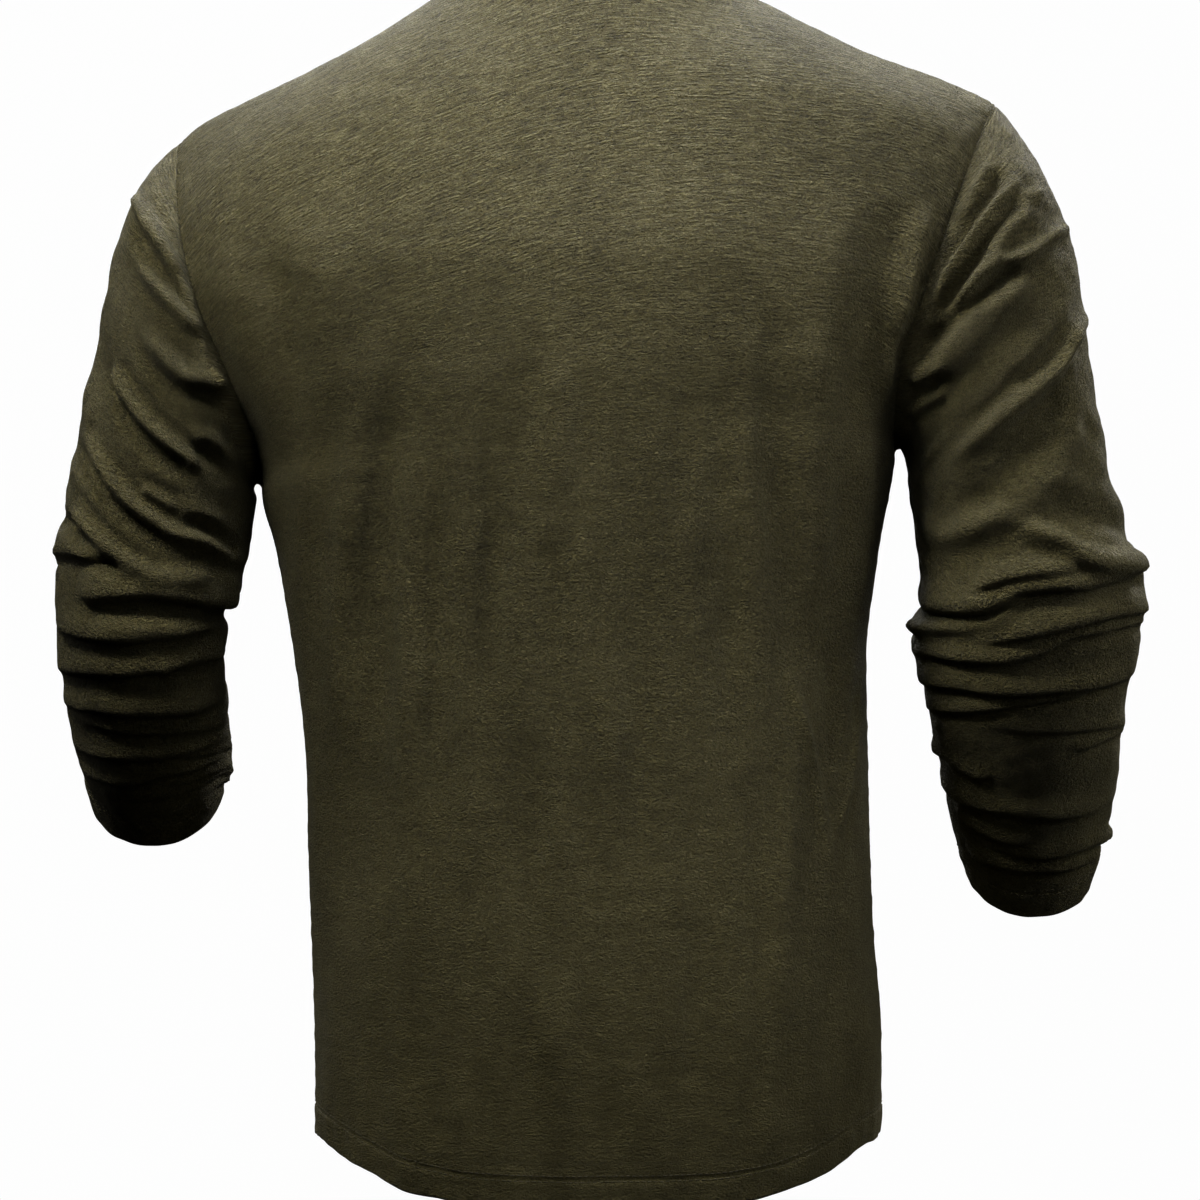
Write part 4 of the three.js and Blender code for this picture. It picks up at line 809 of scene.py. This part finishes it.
def make_neckband():
    edge_u = NECK_SHARE * math.asin(PLACKET_W / 2 / NECK_HALF) / (math.pi / 2)
    a = np.linspace(-edge_u, -NECK_SHARE, 90)
    b = np.linspace(-NECK_SHARE, NECK_SHARE, 200)
    c = np.linspace(NECK_SHARE, -edge_u, 110)
    line = np.concatenate([top_edge(-1, a), top_edge(1, b)[1:-1], top_edge(-1, c)])
    s = np.append(0, np.cumsum(np.linalg.norm(np.diff(line, axis=0), axis=1)))
    pitch = 1.9
    ribs = round(s[-1] / pitch)
    count = ribs * 6 + 1
    x = np.linspace(0, s[-1], count)
    p = np.stack([np.interp(x, s, line[:, k]) for k in range(3)], -1)
    for _ in range(30):
        p[1:-1] = (p[:-2] + 2 * p[1:-1] + p[2:]) / 4
    up, out = neck_frame(p)
    for w in (up, out):
        for _ in range(40):
            w[1:-1] = (w[:-2] + 2 * w[1:-1] + w[2:]) / 4
    up, out = unit(up), unit(out)
    p[0, 0] -= 0.4
    p[-1, 0] += 0.4
    # Section of the doubled rib: out and up from the neckline, and how much rib it shows.
    h, t = BAND_H, BAND_T
    outer = [(0.0, 0.12, 0), (0.3, 1.1, 0.6), (0.5, 2.6, 1), (0.62, 4.6, 1), (0.68, 7, 1), (0.7, 10, 1), (0.66, 13, 1), (0.55, 16, 1), (0.25, 18.2, 1), (-0.2, 19.4, 0.9), (-0.8, 20.0, 0.7)]
    inside = [(-1.5, 20.0, 0.7), (-2.1, 19.4, 0.9), (-2.45, 18.2, 1), (-2.62, 16, 1), (-2.7, 13, 1), (-2.72, 10, 1), (-2.65, 7, 1), (-2.55, 4, 1), (-2.3, 1.2, 0.6), (-1.9, 0.15, 0)]
    sec = np.array(outer + inside)
    phase = 2 * math.pi * x / (s[-1] / ribs)
    rib = 0.24 * np.cos(phase)
    outward = np.array([1.0] * len(outer) + [-1.0] * len(inside))
    seam = 0.15 * np.sin(x / 2.9 + np.sin(x / 17))
    grid = []
    for (o, z, w), way in zip(sec, outward):
        off = o + way * w * rib + (0.3 * np.sin(x / 41 + 1) + seam * math.exp(-z / 4)) * 0.5
        grid.append(p + out * off[:, None] + up * (z + 0.18 * np.sin(x / 33))[:, None])
    grid = np.stack(grid)
    rows, cols = grid.shape[:2]
    i, j = np.meshgrid(np.arange(rows), np.arange(cols - 1), indexing="ij")
    i, j = i.ravel(), j.ravel()
    i1 = (i + 1) % rows
    quads = np.stack([i * cols + j, i * cols + j + 1, i1 * cols + j + 1, i1 * cols + j], 1)
    dist = np.append(0, np.cumsum(np.linalg.norm(np.diff(sec[:, :2], axis=0), axis=1)))
    dist = np.append(dist, dist[-1] + 2)
    uv = np.stack([np.stack([x[jj], dist[ii]], -1) for ii, jj in ((i, j), (i, j + 1), (i + 1, j + 1), (i + 1, j))], 1)
    faces = quads.tolist()
    uvs = uv.reshape(-1, 2).tolist()
    faces.append([r * cols for r in range(rows)])
    faces.append([r * cols + cols - 1 for r in reversed(range(rows))])
    uvs += [[0, dist[r]] for r in range(rows)] + [[s[-1], dist[r]] for r in reversed(range(rows))]
    verts = grid.reshape(-1, 3)
    ob = new_object("neckband_rib", verts, faces, np.array(uvs))
    # Faces look outward: the outer face's normals point away from the neck.
    me = ob.data
    test = me.polygons[(cols - 1) * 5 + cols // 2]
    mid, nrm = np.array(test.center), np.array(test.normal)
    if mid[0] * nrm[0] + (mid[1] + 0.006) * nrm[1] < 0:
        me.flip_normals()
    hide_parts("neckband")
    return ob, p, up, out


neckband_rib, NECK_LINE, NECK_UP, NECK_OUT = make_neckband()


# ---------------------------------------------------------------- placket
def front_places(x, drop):
    """Places and normals on the front panel at x, a drop below the neckline down the centre."""
    vs = np.linspace(ROWS, ROWS - 3.2, 401)
    centre = body(-1, [0.0], vs)[:, 0]
    gone = np.append(0, np.cumsum(np.linalg.norm(np.diff(centre, axis=0), axis=1)))
    drop = np.atleast_1d(np.asarray(drop, float))
    x = np.atleast_1d(np.asarray(x, float))
    v = np.interp(drop, gone, vs)
    us = np.linspace(-0.3, 0.3, 241)
    def at(v_values):
        g = body(-1, us, v_values)
        return np.stack([np.stack([np.interp(x, row[:, 0], row[:, k]) for k in range(3)], -1) for row in g])
    p = at(v)
    step = 0.02
    lo = at(np.maximum(v - step, 0))
    hi = at(np.minimum(v + step, ROWS))
    dv = hi - lo
    dx = np.gradient(p, axis=1) if len(x) > 2 else None
    if dx is None:
        wide = x[:, None] + np.array([-1.0, 1.0])
        g = body(-1, us, v)
        dx = np.stack([np.stack([np.interp(x + 1, row[:, 0], row[:, k]) - np.interp(x - 1, row[:, 0], row[:, k]) for k in range(3)], -1) for row in g])
    n = unit(np.cross(dx, dv))
    if (n[..., 1]).mean() > 0:
        n = -n
    return p, n


def make_strip(name, node, half, start, end, off, thick, drawn_in):
    x = np.concatenate([[-half, -half + 0.35, -half + 0.9], np.linspace(-half + 1.6, half - 1.6, 37), [half - 0.9, half - 0.35, half]])
    drop = np.concatenate([[end, end - 0.35, end - 0.9], np.linspace(end - 1.6, start + 1.6, 135), [start + 0.9, start + 0.35, start]])
    p, n = front_places(x, drop)
    edge = np.minimum(half - np.abs(x)[None, :], np.minimum(drop - start, end - drop)[:, None])
    round_off = np.sqrt(np.clip(1 - (1 - np.clip(edge / 0.9, 0, 1)) ** 2, 0, 1))
    face = off + thick * (0.45 + 0.55 * round_off)
    back = off + thick * 0.35 * (1 - round_off)
    if drawn_in:
        for line in (2.4,):
            face -= 0.4 * np.exp(-(((half - np.abs(x))[None, :] - line) / 0.55) ** 2)
            foot = np.minimum(np.abs(end - drop - 2.4), np.abs(end - drop - 12))[:, None]
            face -= 0.4 * np.exp(-((foot / 0.55) ** 2)) * (np.abs(x) < half - 2)[None, :]
        face += 0.12 * np.sin(drop / 2.1 + np.sin(drop / 9))[:, None] * np.exp(-((half - np.abs(x))[None, :] / 3.5))
        face += 0.18 * ripple(p, 71, (18, 45))
    outer = p + n * face[..., None]
    inner = p + n * back[..., None]
    gu = np.broadcast_to(x[None, :], p.shape[:2]) + 400
    gv = np.broadcast_to(-drop[:, None], p.shape[:2]) + 300
    # The strips are cut lengthwise: their streaks run up and down.
    ob = shell(name, outer, inner, gv, gu, flip=False)
    # Which way round the faces run is read off the outer face.
    me = ob.data
    if me.polygons[len(x) * 40 + 20].normal.y > 0:
        me.flip_normals()
    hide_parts(node)
    return ob, (x, drop, outer, n)


placket_over_strip, OVER = make_strip("placket_over_strip", "placket_over", PLACKET_W / 2, 1.2, PLACKET_L, LIFT, PLACKET_T, True)
placket_under_strip, UNDER = make_strip("placket_under_strip", "placket_under", PLACKET_W / 2 - 1, 2.4, PLACKET_L - 2, -WALL - LIFT - PLACKET_T, PLACKET_T, False)


# ---------------------------------------------------------------- materials
class Tree:
    """A short way to write a node material."""

    def __init__(self, name):
        self.material = bpy.data.materials.new(name)
        self.material.use_nodes = True
        self.t = self.material.node_tree
        self.t.nodes.clear()
        self.out = self.t.nodes.new("ShaderNodeOutputMaterial")
        self.shader = self.t.nodes.new("ShaderNodeBsdfPrincipled")
        self.t.links.new(self.shader.outputs[0], self.out.inputs[0])

    def put(self, value, socket):
        if isinstance(value, bpy.types.NodeSocket):
            self.t.links.new(value, socket)
        else:
            socket.default_value = value

    def math(self, kind, a, b=0.0, c=0.0):
        n = self.t.nodes.new("ShaderNodeMath")
        n.operation = kind
        for k, v in enumerate((a, b, c)):
            self.put(v, n.inputs[k])
        return n.outputs[0]

    def grain(self):
        n = self.t.nodes.new("ShaderNodeUVMap")
        n.uv_map = "grain"
        return n.outputs[0]

    def scaled(self, vector, size, shift=(0, 0, 0), turn=0.0):
        """Vector in units of size."""
        n = self.t.nodes.new("ShaderNodeMapping")
        n.vector_type = "POINT"
        self.put(vector, n.inputs["Vector"])
        n.inputs["Location"].default_value = shift
        n.inputs["Rotation"].default_value = (0, 0, turn)
        n.inputs["Scale"].default_value = [1 / s for s in size]
        return n.outputs[0]

    def noise(self, vector, detail=2.0, rough=0.5, distortion=0.0):
        n = self.t.nodes.new("ShaderNodeTexNoise")
        n.noise_dimensions = "3D"
        self.put(vector, n.inputs["Vector"])
        n.inputs["Scale"].default_value = 1
        n.inputs["Detail"].default_value = detail
        n.inputs["Roughness"].default_value = rough
        n.inputs["Distortion"].default_value = distortion
        return n.outputs["Fac"]

    def spread(self, value, lo, hi, a=0.0, b=1.0):
        n = self.t.nodes.new("ShaderNodeMapRange")
        self.put(value, n.inputs[0])
        for k, v in zip((1, 2, 3, 4), (lo, hi, a, b)):
            n.inputs[k].default_value = v
        return n.outputs[0]

    def ramp(self, value, *stops):
        n = self.t.nodes.new("ShaderNodeValToRGB")
        self.put(value, n.inputs[0])
        e = n.color_ramp.elements
        while len(e) < len(stops):
            e.new(0.5)
        for k, (at, colour) in enumerate(stops):
            e[k].position = at
            e[k].color = (*colour, 1)
        return n.outputs[0]

    def bump(self, height, distance, strength=1.0, onto=None):
        n = self.t.nodes.new("ShaderNodeBump")
        n.inputs["Strength"].default_value = strength
        n.inputs["Distance"].default_value = distance
        self.put(height, n.inputs["Height"])
        if onto is not None:
            self.put(onto, n.inputs["Normal"])
        return n.outputs[0]

    def finish(self, colour, roughness, normal=None, **fixed):
        self.put(colour, self.shader.inputs["Base Color"])
        self.put(roughness, self.shader.inputs["Roughness"])
        if normal is not None:
            self.put(normal, self.shader.inputs["Normal"])
        for k, v in fixed.items():
            self.shader.inputs[k.replace("_", " ")].default_value = v
        return self.material


def jersey(name, shade=1.0):
    """Olive slub jersey: crinkled thick-and-thin yarn along the courses, longer slubs, soft mottling; the streaks and
    slubs, in colour and relief, are stronger towards the top, and the slubs paint the colour lighter there: painted
    grazing light on the shoulders.
    """
    m = Tree(name)
    g = m.grain()
    place = m.t.nodes.new("ShaderNodeSeparateXYZ")
    m.put(m.t.nodes.new("ShaderNodeTexCoord").outputs["Object"], place.inputs[0])
    # Painted grazing light: the weight high rises from 0.08 at z -0.34 m to 1 at -0.08 m, so the streaks and slubs show
    # more strongly, and lighter, in the colour towards the shoulders.
    high = m.spread(place.outputs[2], -0.34, -0.08, 0.08, 1.0)
    # The crinkle's contrast, in colour and relief, falls to 0.35 of its full strength from z -0.36 m down to -0.64 m.
    crinkle_by_height = m.spread(place.outputs[2], -0.64, -0.36, 0.35, 1.0)
    crinkle = m.spread(m.noise(m.scaled(g, (1.9, 1.3, 1), (3.1, 7.7, 0)), 2.0, 0.6, 0.9), 0.32, 0.68)
    crinkle = m.math("MULTIPLY_ADD", m.math("SUBTRACT", crinkle, 0.5), crinkle_by_height, 0.5)
    streak = m.spread(m.noise(m.scaled(g, (12, 1.25, 1), (11.3, 2.9, 4)), 2.0, 0.55, 0.3), 0.36, 0.64)
    slub = m.spread(m.noise(m.scaled(g, (22, 1.6, 1), (5.5, 1.3, 9)), 1.0, 0.5), 0.56, 0.76)
    mottle = m.spread(m.noise(m.scaled(g, (9, 4.5, 1), (0.5, 0.3, 6)), 2.0, 0.5), 0.3, 0.7)
    patch = m.spread(m.noise(m.scaled(g, (22, 26, 1), (6.5, 4.3, 2)), 3.0, 0.5), 0.3, 0.7)
    wash = m.spread(m.noise(m.scaled(g, (60, 110, 1), (2.5, 8.3, 1)), 2.0, 0.5), 0.3, 0.7)
    speck = m.spread(m.noise(m.scaled(g, (0.8, 0.6, 1), (2.5, 8.3, 5)), 1.0, 0.5), 0.3, 0.7)
    level = m.math("MULTIPLY_ADD", m.math("SUBTRACT", crinkle, 0.5), 0.42, 0.44)
    # Painted grazing light: streak contrast and slub lightness, weighted by height.
    level = m.math("MULTIPLY_ADD", m.math("MULTIPLY", m.math("SUBTRACT", streak, 0.5), high), 0.38, level)
    level = m.math("MULTIPLY_ADD", m.math("MULTIPLY", slub, high), 0.16, level)
    level = m.math("MULTIPLY_ADD", m.math("SUBTRACT", mottle, 0.5), 0.15, level)
    level = m.math("MULTIPLY_ADD", m.math("SUBTRACT", wash, 0.5), 0.12, level)
    level = m.math("MULTIPLY_ADD", m.math("SUBTRACT", patch, 0.5), 0.10, level)
    level = m.math("MULTIPLY_ADD", m.math("SUBTRACT", speck, 0.5), 0.16, level)
    colour = m.ramp(level, (0.0, [0.036 * shade, 0.030 * shade, 0.008 * shade]),
                    (0.45, [0.110 * shade, 0.094 * shade, 0.033 * shade]),
                    (1.0, [0.225 * shade, 0.199 * shade, 0.095 * shade]))
    # Knit loops: chevrons 0.95 mm wide and 0.75 mm high.
    split = m.t.nodes.new("ShaderNodeSeparateXYZ")
    m.put(g, split.inputs[0])
    wale = m.math("ABSOLUTE", m.math("SUBTRACT", m.math("FRACT", m.math("DIVIDE", split.outputs[0], 0.95)), 0.5))
    course = m.math("MULTIPLY_ADD", wale, 1.1, m.math("DIVIDE", split.outputs[1], 0.75))
    loop = m.math("SINE", m.math("MULTIPLY", course, 2 * math.pi))
    knit = m.math("MULTIPLY_ADD", loop, 0.25, m.math("SUBTRACT", 0.25, m.math("ABSOLUTE", m.math("SUBTRACT", wale, 0.25))))
    yarn = m.math("MULTIPLY_ADD", m.math("MULTIPLY", streak, high), 1.0, m.math("MULTIPLY_ADD", m.math("MULTIPLY", slub, high), 0.6, m.math("MULTIPLY", crinkle, 1.75)))
    relief = m.bump(yarn, 0.0013)
    relief = m.bump(knit, 0.00018, 0.6, relief)
    return m.finish(colour, m.spread(level, 0, 1, 0.86, 0.74), relief, Sheen_Weight=0.07, Sheen_Roughness=0.5,
                    Sheen_Tint=(0.95, 0.97, 0.9, 1), Specular_IOR_Level=0.32)


def ribbing(name):
    m = Tree(name)
    g = m.grain()
    flow = m.spread(m.noise(m.scaled(g, (1.0, 7.0, 1), (1.5, 3.3, 1)), 2.0, 0.5), 0.3, 0.7)
    mottle = m.spread(m.noise(m.scaled(g, (16, 11, 1), (4.5, 0.3, 6)), 2.0, 0.5), 0.3, 0.7)
    level = m.math("MULTIPLY_ADD", flow, 0.55, m.math("MULTIPLY", mottle, 0.4))
    colour = m.ramp(level, (0.0, [0.062, 0.052, 0.025]), (0.5, [0.102, 0.087, 0.043]), (1.0, [0.17, 0.147, 0.08]))
    split = m.t.nodes.new("ShaderNodeSeparateXYZ")
    m.put(g, split.inputs[0])
    loop = m.math("SINE", m.math("MULTIPLY", split.outputs[1], 2 * math.pi / 0.8))
    relief = m.bump(m.math("MULTIPLY_ADD", loop, 0.3, flow), 0.00018)
    return m.finish(colour, m.spread(level, 0, 1, 0.96, 0.86), relief, Sheen_Weight=0.2, Sheen_Roughness=0.45, Specular_IOR_Level=0.22)


def sewing_thread(name):
    m = Tree(name)
    where = m.t.nodes.new("ShaderNodeTexCoord").outputs["Object"]
    twist = m.spread(m.noise(m.scaled(where, (0.0005, 0.0005, 0.0005)), 2.0, 0.5), 0.3, 0.7)
    colour = m.ramp(twist, (0.0, [0.075, 0.065, 0.033]), (1.0, [0.15, 0.132, 0.075]))
    return m.finish(colour, 0.72, m.bump(twist, 0.00008), Specular_IOR_Level=0.35, Sheen_Weight=0.1)


def button_stuff(name):
    m = Tree(name)
    where = m.t.nodes.new("ShaderNodeTexCoord").outputs["Object"]
    swirl = m.spread(m.noise(m.scaled(where, (0.006, 0.004, 0.003), (0.4, 0, 0)), 3.0, 0.6, 1.4), 0.3, 0.7)
    speck = m.spread(m.noise(m.scaled(where, (0.0006, 0.0006, 0.0006)), 2.0, 0.5), 0.3, 0.7)
    level = m.math("MULTIPLY_ADD", swirl, 0.8, m.math("MULTIPLY", speck, 0.2))
    colour = m.ramp(level, (0.0, [0.009, 0.007, 0.004]), (0.55, [0.022, 0.017, 0.01]), (1.0, [0.055, 0.043, 0.026]))
    rough = m.spread(speck, 0, 1, 0.28, 0.42)
    return m.finish(colour, rough, m.bump(speck, 0.00003), Specular_IOR_Level=0.5, Coat_Weight=0.15, Coat_Roughness=0.2)


cloth_look = jersey("slub_jersey")
rib_look, thread_look, button_look = ribbing("fine_rib"), sewing_thread("sewing_thread"), button_stuff("dyed_button")
for piece in (back_cloth, front_cloth, sleeve_left_cloth, sleeve_right_cloth, placket_over_strip, placket_under_strip):
    piece.data.materials.append(cloth_look)
    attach(piece, "root")
neckband_rib.data.materials.append(rib_look)
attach(neckband_rib, "root")
for number in (1, 2, 3):
    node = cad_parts["button_%d" % number]
    node.data.materials.clear()
    node.data.materials.append(button_look)


# ---------------------------------------------------------------- stitches
def sleeve_path(grid, distance):
    """A line round a sleeve, distance mm up from the cuff."""
    turns = np.linspace(0, len(grid["turns"]), 460)
    rows = np.arange(len(grid["shares"]))
    i = np.empty(len(turns))
    for k, j in enumerate(turns):
        j0 = int(j) % len(grid["turns"])
        i[k] = np.interp(-distance, -grid["to_cuff"][:, j0], rows)
    return read_grid(grid["place"], i, turns, True), read_grid(grid["n"], i, turns, True)


def hem_path(grid, distance):
    cols = np.linspace(1, len(grid["u"]) - 2, 1100)
    j0 = np.round(cols).astype(int)
    rows = np.arange(len(grid["v"]))
    i = np.array([np.interp(distance, grid["foot"][:, j], rows) for j in j0])
    return read_grid(grid["place"], i, cols), read_grid(grid["n"], i, cols)


def grown(path, smooth=6):
    p, n = path
    for _ in range(smooth):
        n = n.copy()
        n[1:-1] = (n[:-2] + 2 * n[1:-1] + n[2:]) / 4
    return p, unit(n)


hem_stitches = threads("hem_stitches", [grown(hem_path(g, BODY_HEM + d)) for g in (BACK_GRID, FRONT_GRID) for d in (-0.9, 2.3)])
cuff_stitches = threads("cuff_stitches", [grown(sleeve_path(g, CUFF_HEM + d)) for g in (LEFT_GRID, RIGHT_GRID) for d in (-0.9, 2.3)])


def strip_path(points):
    """A line on the outer placket strip through (x, drop) points."""
    x, drop, outer, n = OVER
    line = drawn_corners(points, 1.0)
    i = np.interp(-line[:, 1], -drop, np.arange(len(drop)))
    j = np.interp(line[:, 0], x, np.arange(len(x)))
    return read_grid(outer, i, j), read_grid(n, i, j)


def drawn_corners(points, step):
    out = []
    for a, b in zip(points, points[1:]):
        a, b = np.array(a, float), np.array(b, float)
        m = max(1, int(np.linalg.norm(b - a) / step))
        out += [a + (b - a) * k / m for k in range(m)]
    return np.array(out + [np.array(points[-1], float)])


e = PLACKET_W / 2 - 2.4
placket_stitches = threads("placket_stitches", [
    strip_path([(-e, 3), (-e, PLACKET_L - 2.4)]), strip_path([(-e, PLACKET_L - 2.4), (e, PLACKET_L - 2.4)]),
    strip_path([(e, PLACKET_L - 2.4), (e, 3)]), strip_path([(-e, PLACKET_L - 12), (e, PLACKET_L - 12)]),
], long=2.2, gap=0.5, radius=0.22)


def neck_path():
    """Topstitching on the body, just under the neckband."""
    paths = []
    for grid, panel in ((BACK_GRID, 1), (FRONT_GRID, -1)):
        cols = np.nonzero(np.abs(grid["u"]) < NECK_SHARE - 0.012)[0]
        cols = cols[(panel > 0) | (np.abs(grid["base"][-1, cols, 0]) > PLACKET_W / 2 + 1)] if panel < 0 else cols
        groups = np.split(cols, np.nonzero(np.diff(cols) > 1)[0] + 1)
        for c in groups:
            j = np.linspace(c[0], c[-1], 160)
            near = np.round(j).astype(int)
            foot = grid["foot"]
            i = np.array([np.interp(foot[-1, q] - 3.2, foot[:, q], np.arange(len(grid["v"]))) for q in near])
            paths.append(grown((read_grid(grid["place"], i, j), read_grid(grid["n"], i, j))))
    return paths


neck_stitches = threads("neck_stitches", neck_path(), long=2.4, gap=0.6, radius=0.24)

# Buttonholes: two bars of satin stitch and a bar tack at each end, showing beyond each button.
paths = []
for drop in BUTTON_DROPS:
    for way in (-1, 1):
        paths.append(strip_path([(way * 0.85, drop - 7.4), (way * 0.85, drop + 7.4)]))
        paths.append(strip_path([(-1.5, drop + way * 7.6), (1.5, drop + way * 7.6)]))
buttonhole_stitches = threads("buttonhole_stitches", paths, long=0.8, gap=0.06, radius=0.42, sink=0.12)

# Thread through each button's four holes, in two bars.
paths = []
for drop in BUTTON_DROPS:
    p, n = front_places([-1.0, 0.0, 1.0], [drop])
    centre, nrm = p[0, 1], unit(n[0, 1])
    side = unit(np.array([1.0, 0, 0]) - nrm * nrm[0])
    up = np.cross(nrm, side)
    face = centre + nrm * (LIFT + PLACKET_T + 0.3 + 1.8)
    for way in (-1.2, 1.2):
        s = np.linspace(-1, 1, 15)
        bow = 0.32 - 0.95 * np.abs(s) ** 5
        line = face + side * way + up * (1.25 * s)[:, None] + nrm * bow[:, None]
        for off in (-0.2, 0.2):
            paths.append((line + side * off, np.tile(nrm, (len(s), 1))))
button_threads = threads("button_threads", paths, long=2.6, gap=0.0, radius=0.22, sink=0.0)
stitching = [hem_stitches, cuff_stitches, placket_stitches, neck_stitches, buttonhole_stitches, button_threads]
for piece in stitching:
    piece.data.materials.append(thread_look)
    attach(piece, "root")


# ---------------------------------------------------------------- stage
def floor_look():
    m = Tree("pale_floor")
    where = m.t.nodes.new("ShaderNodeTexCoord").outputs["Object"]
    soft = m.spread(m.noise(m.scaled(where, (0.4, 0.4, 0.4)), 3.0, 0.5), 0.3, 0.7)
    colour = m.ramp(soft, (0.0, [0.78, 0.78, 0.77]), (1.0, [0.82, 0.82, 0.81]))
    m.put(colour, m.shader.inputs["Emission Color"])
    return m.finish(colour, 0.8, Specular_IOR_Level=0.2, Emission_Strength=0.85)


floor = new_object("floor", np.array([(-5200, -5200, -1450), (5200, -5200, -1450), (5200, 5200, -1450), (-5200, 5200, -1450)], float), [[0, 1, 2, 3]], smooth=False)
floor.data.materials.append(floor_look())
floor.visible_diffuse = floor.visible_glossy = False


def backdrop():
    """A plain white surround, seen by the camera only, so that it doesn't light the cloth."""
    around, up = 64, 24
    a, b = np.linspace(0, 2 * math.pi, around + 1)[:-1], np.linspace(-math.pi / 2, math.pi / 2, up + 1)
    verts = [(14000 * math.cos(e) * math.cos(h), 14000 * math.cos(e) * math.sin(h), 14000 * math.sin(e)) for e in b[1:-1] for h in a]
    verts += [(0, 0, -14000), (0, 0, 14000)]
    rows = up - 1
    faces = [[r * around + k, r * around + (k + 1) % around, (r + 1) * around + (k + 1) % around, (r + 1) * around + k] for r in range(rows - 1) for k in range(around)]
    faces += [[len(verts) - 2, (k + 1) % around, k] for k in range(around)]
    faces += [[(rows - 1) * around + k, (rows - 1) * around + (k + 1) % around, len(verts) - 1] for k in range(around)]
    ob = new_object("backdrop", np.array(verts), faces)
    m = Tree("white_backdrop")
    where = m.t.nodes.new("ShaderNodeTexCoord").outputs["Object"]
    soft = m.noise(m.scaled(where, (6, 6, 6)), 1.0, 0.5)
    glow = m.ramp(soft, (0.0, [0.985, 0.985, 0.985]), (1.0, [0.995, 0.995, 0.995]))
    m.put(glow, m.shader.inputs["Emission Color"])
    ob.data.materials.append(m.finish((0, 0, 0, 1), 1.0, Specular_IOR_Level=0.0, Emission_Strength=1.0))
    ob.visible_diffuse = ob.visible_glossy = ob.visible_shadow = ob.visible_transmission = False
    return ob


backdrop()

scene = bpy.context.scene
scene.view_settings.view_transform = "Standard"
scene.view_settings.look = "None"
scene.view_settings.gamma = 0.8
world = bpy.data.worlds.new("studio")
scene.world = world
world.use_nodes = True
wt = world.node_tree
wt.nodes.clear()
w_out, w_back = wt.nodes.new("ShaderNodeOutputWorld"), wt.nodes.new("ShaderNodeBackground")
w_ramp, w_split, w_way = wt.nodes.new("ShaderNodeValToRGB"), wt.nodes.new("ShaderNodeSeparateXYZ"), wt.nodes.new("ShaderNodeTexCoord")
wt.links.new(w_way.outputs["Generated"], w_split.inputs[0])
w_map = wt.nodes.new("ShaderNodeMapRange")
w_map.inputs[1].default_value, w_map.inputs[2].default_value = -1, 1
wt.links.new(w_split.outputs[2], w_map.inputs[0])
wt.links.new(w_map.outputs[0], w_ramp.inputs[0])
wt.links.new(w_ramp.outputs[0], w_back.inputs[0])
wt.links.new(w_back.outputs[0], w_out.inputs[0])
bands = w_ramp.color_ramp.elements
for at, level in ((0.5, 0.10), (0.7, 0.4)):
    e = bands.new(at)
    e.color = (level, level, level, 1)
bands[0].color, bands[-1].color = (0.01, 0.01, 0.01, 1), (1.0, 1.0, 1.0, 1)
w_back.inputs[1].default_value = 0.045


def lamp(name, size, energy, place, towards, colour=(1, 1, 1), spread=180):
    data = bpy.data.lights.new(name, "AREA")
    data.shape = "RECTANGLE"
    data.size, data.size_y = size
    data.energy = energy
    data.color = colour
    data.spread = math.radians(spread)
    ob = bpy.data.objects.new(name, data)
    scene.collection.objects.link(ob)
    ob.location = place
    ob.rotation_euler = (Vector(towards) - Vector(place)).to_track_quat("-Z", "Y").to_euler()
    ob.visible_camera = False
    return ob


lamp("key_left", (0.3, 0.3), 5.0, (0.56, 0.6, 0.42), (-0.03, 0.1, -0.17), (1, 0.99, 0.955), 110)
lamp("key_mid", (0.3, 0.3), 0.13, (-0.3, 0.85, -0.1), (-0.04, 0.1, -0.25), (1, 0.99, 0.96), 62)
lamp("key_centre", (0.5, 0.2), 1.0, (-0.12, 0.52, 0.34), (-0.05, 0.08, -0.2), (1, 0.99, 0.98), 120)
lamp("side_right", (0.5, 0.9), 4.9, (-1.4, 0.38, 0.25), (0, 0, -0.08), (1, 1, 1), 110)
lamp("low_right", (0.5, 0.5), 0.7, (-1.2, 1.3, -0.6), (-0.25, 0, -0.4))
lamp("top_back", (0.5, 0.4), 7.0, (0.02, 0.16, 0.5), (0, 0, -0.1), (0.94, 1.0, 1.4))
lamp("top_front", (0.6, 0.4), 7.5, (0.0, -0.32, 0.5), (0, 0, -0.1), (0.94, 1.0, 1.3))
lamp("front_fill", (1.4, 1.0), 34.0, (0.5, -2.2, 0.6), (0, 0, -0.35))
lamp("front_key", (0.35, 0.35), 19.0, (-0.95, -1.05, 0.45), (0.03, -0.1, -0.22), (1, 0.99, 0.97))
lamp("side_left", (0.8, 1.0), 6.0, (1.7, -0.6, 0.3), (0.1, 0, -0.3))

camera_data = bpy.data.cameras.new("camera")
camera = bpy.data.objects.new("camera", camera_data)
scene.collection.objects.link(camera)
camera.location = (-0.0029, 2.6, -0.36)
camera.rotation_euler = (math.pi / 2, 0, math.pi)
camera_data.sensor_width = 36
camera_data.lens = 134.48
camera_data.clip_end = 60
scene.camera = camera
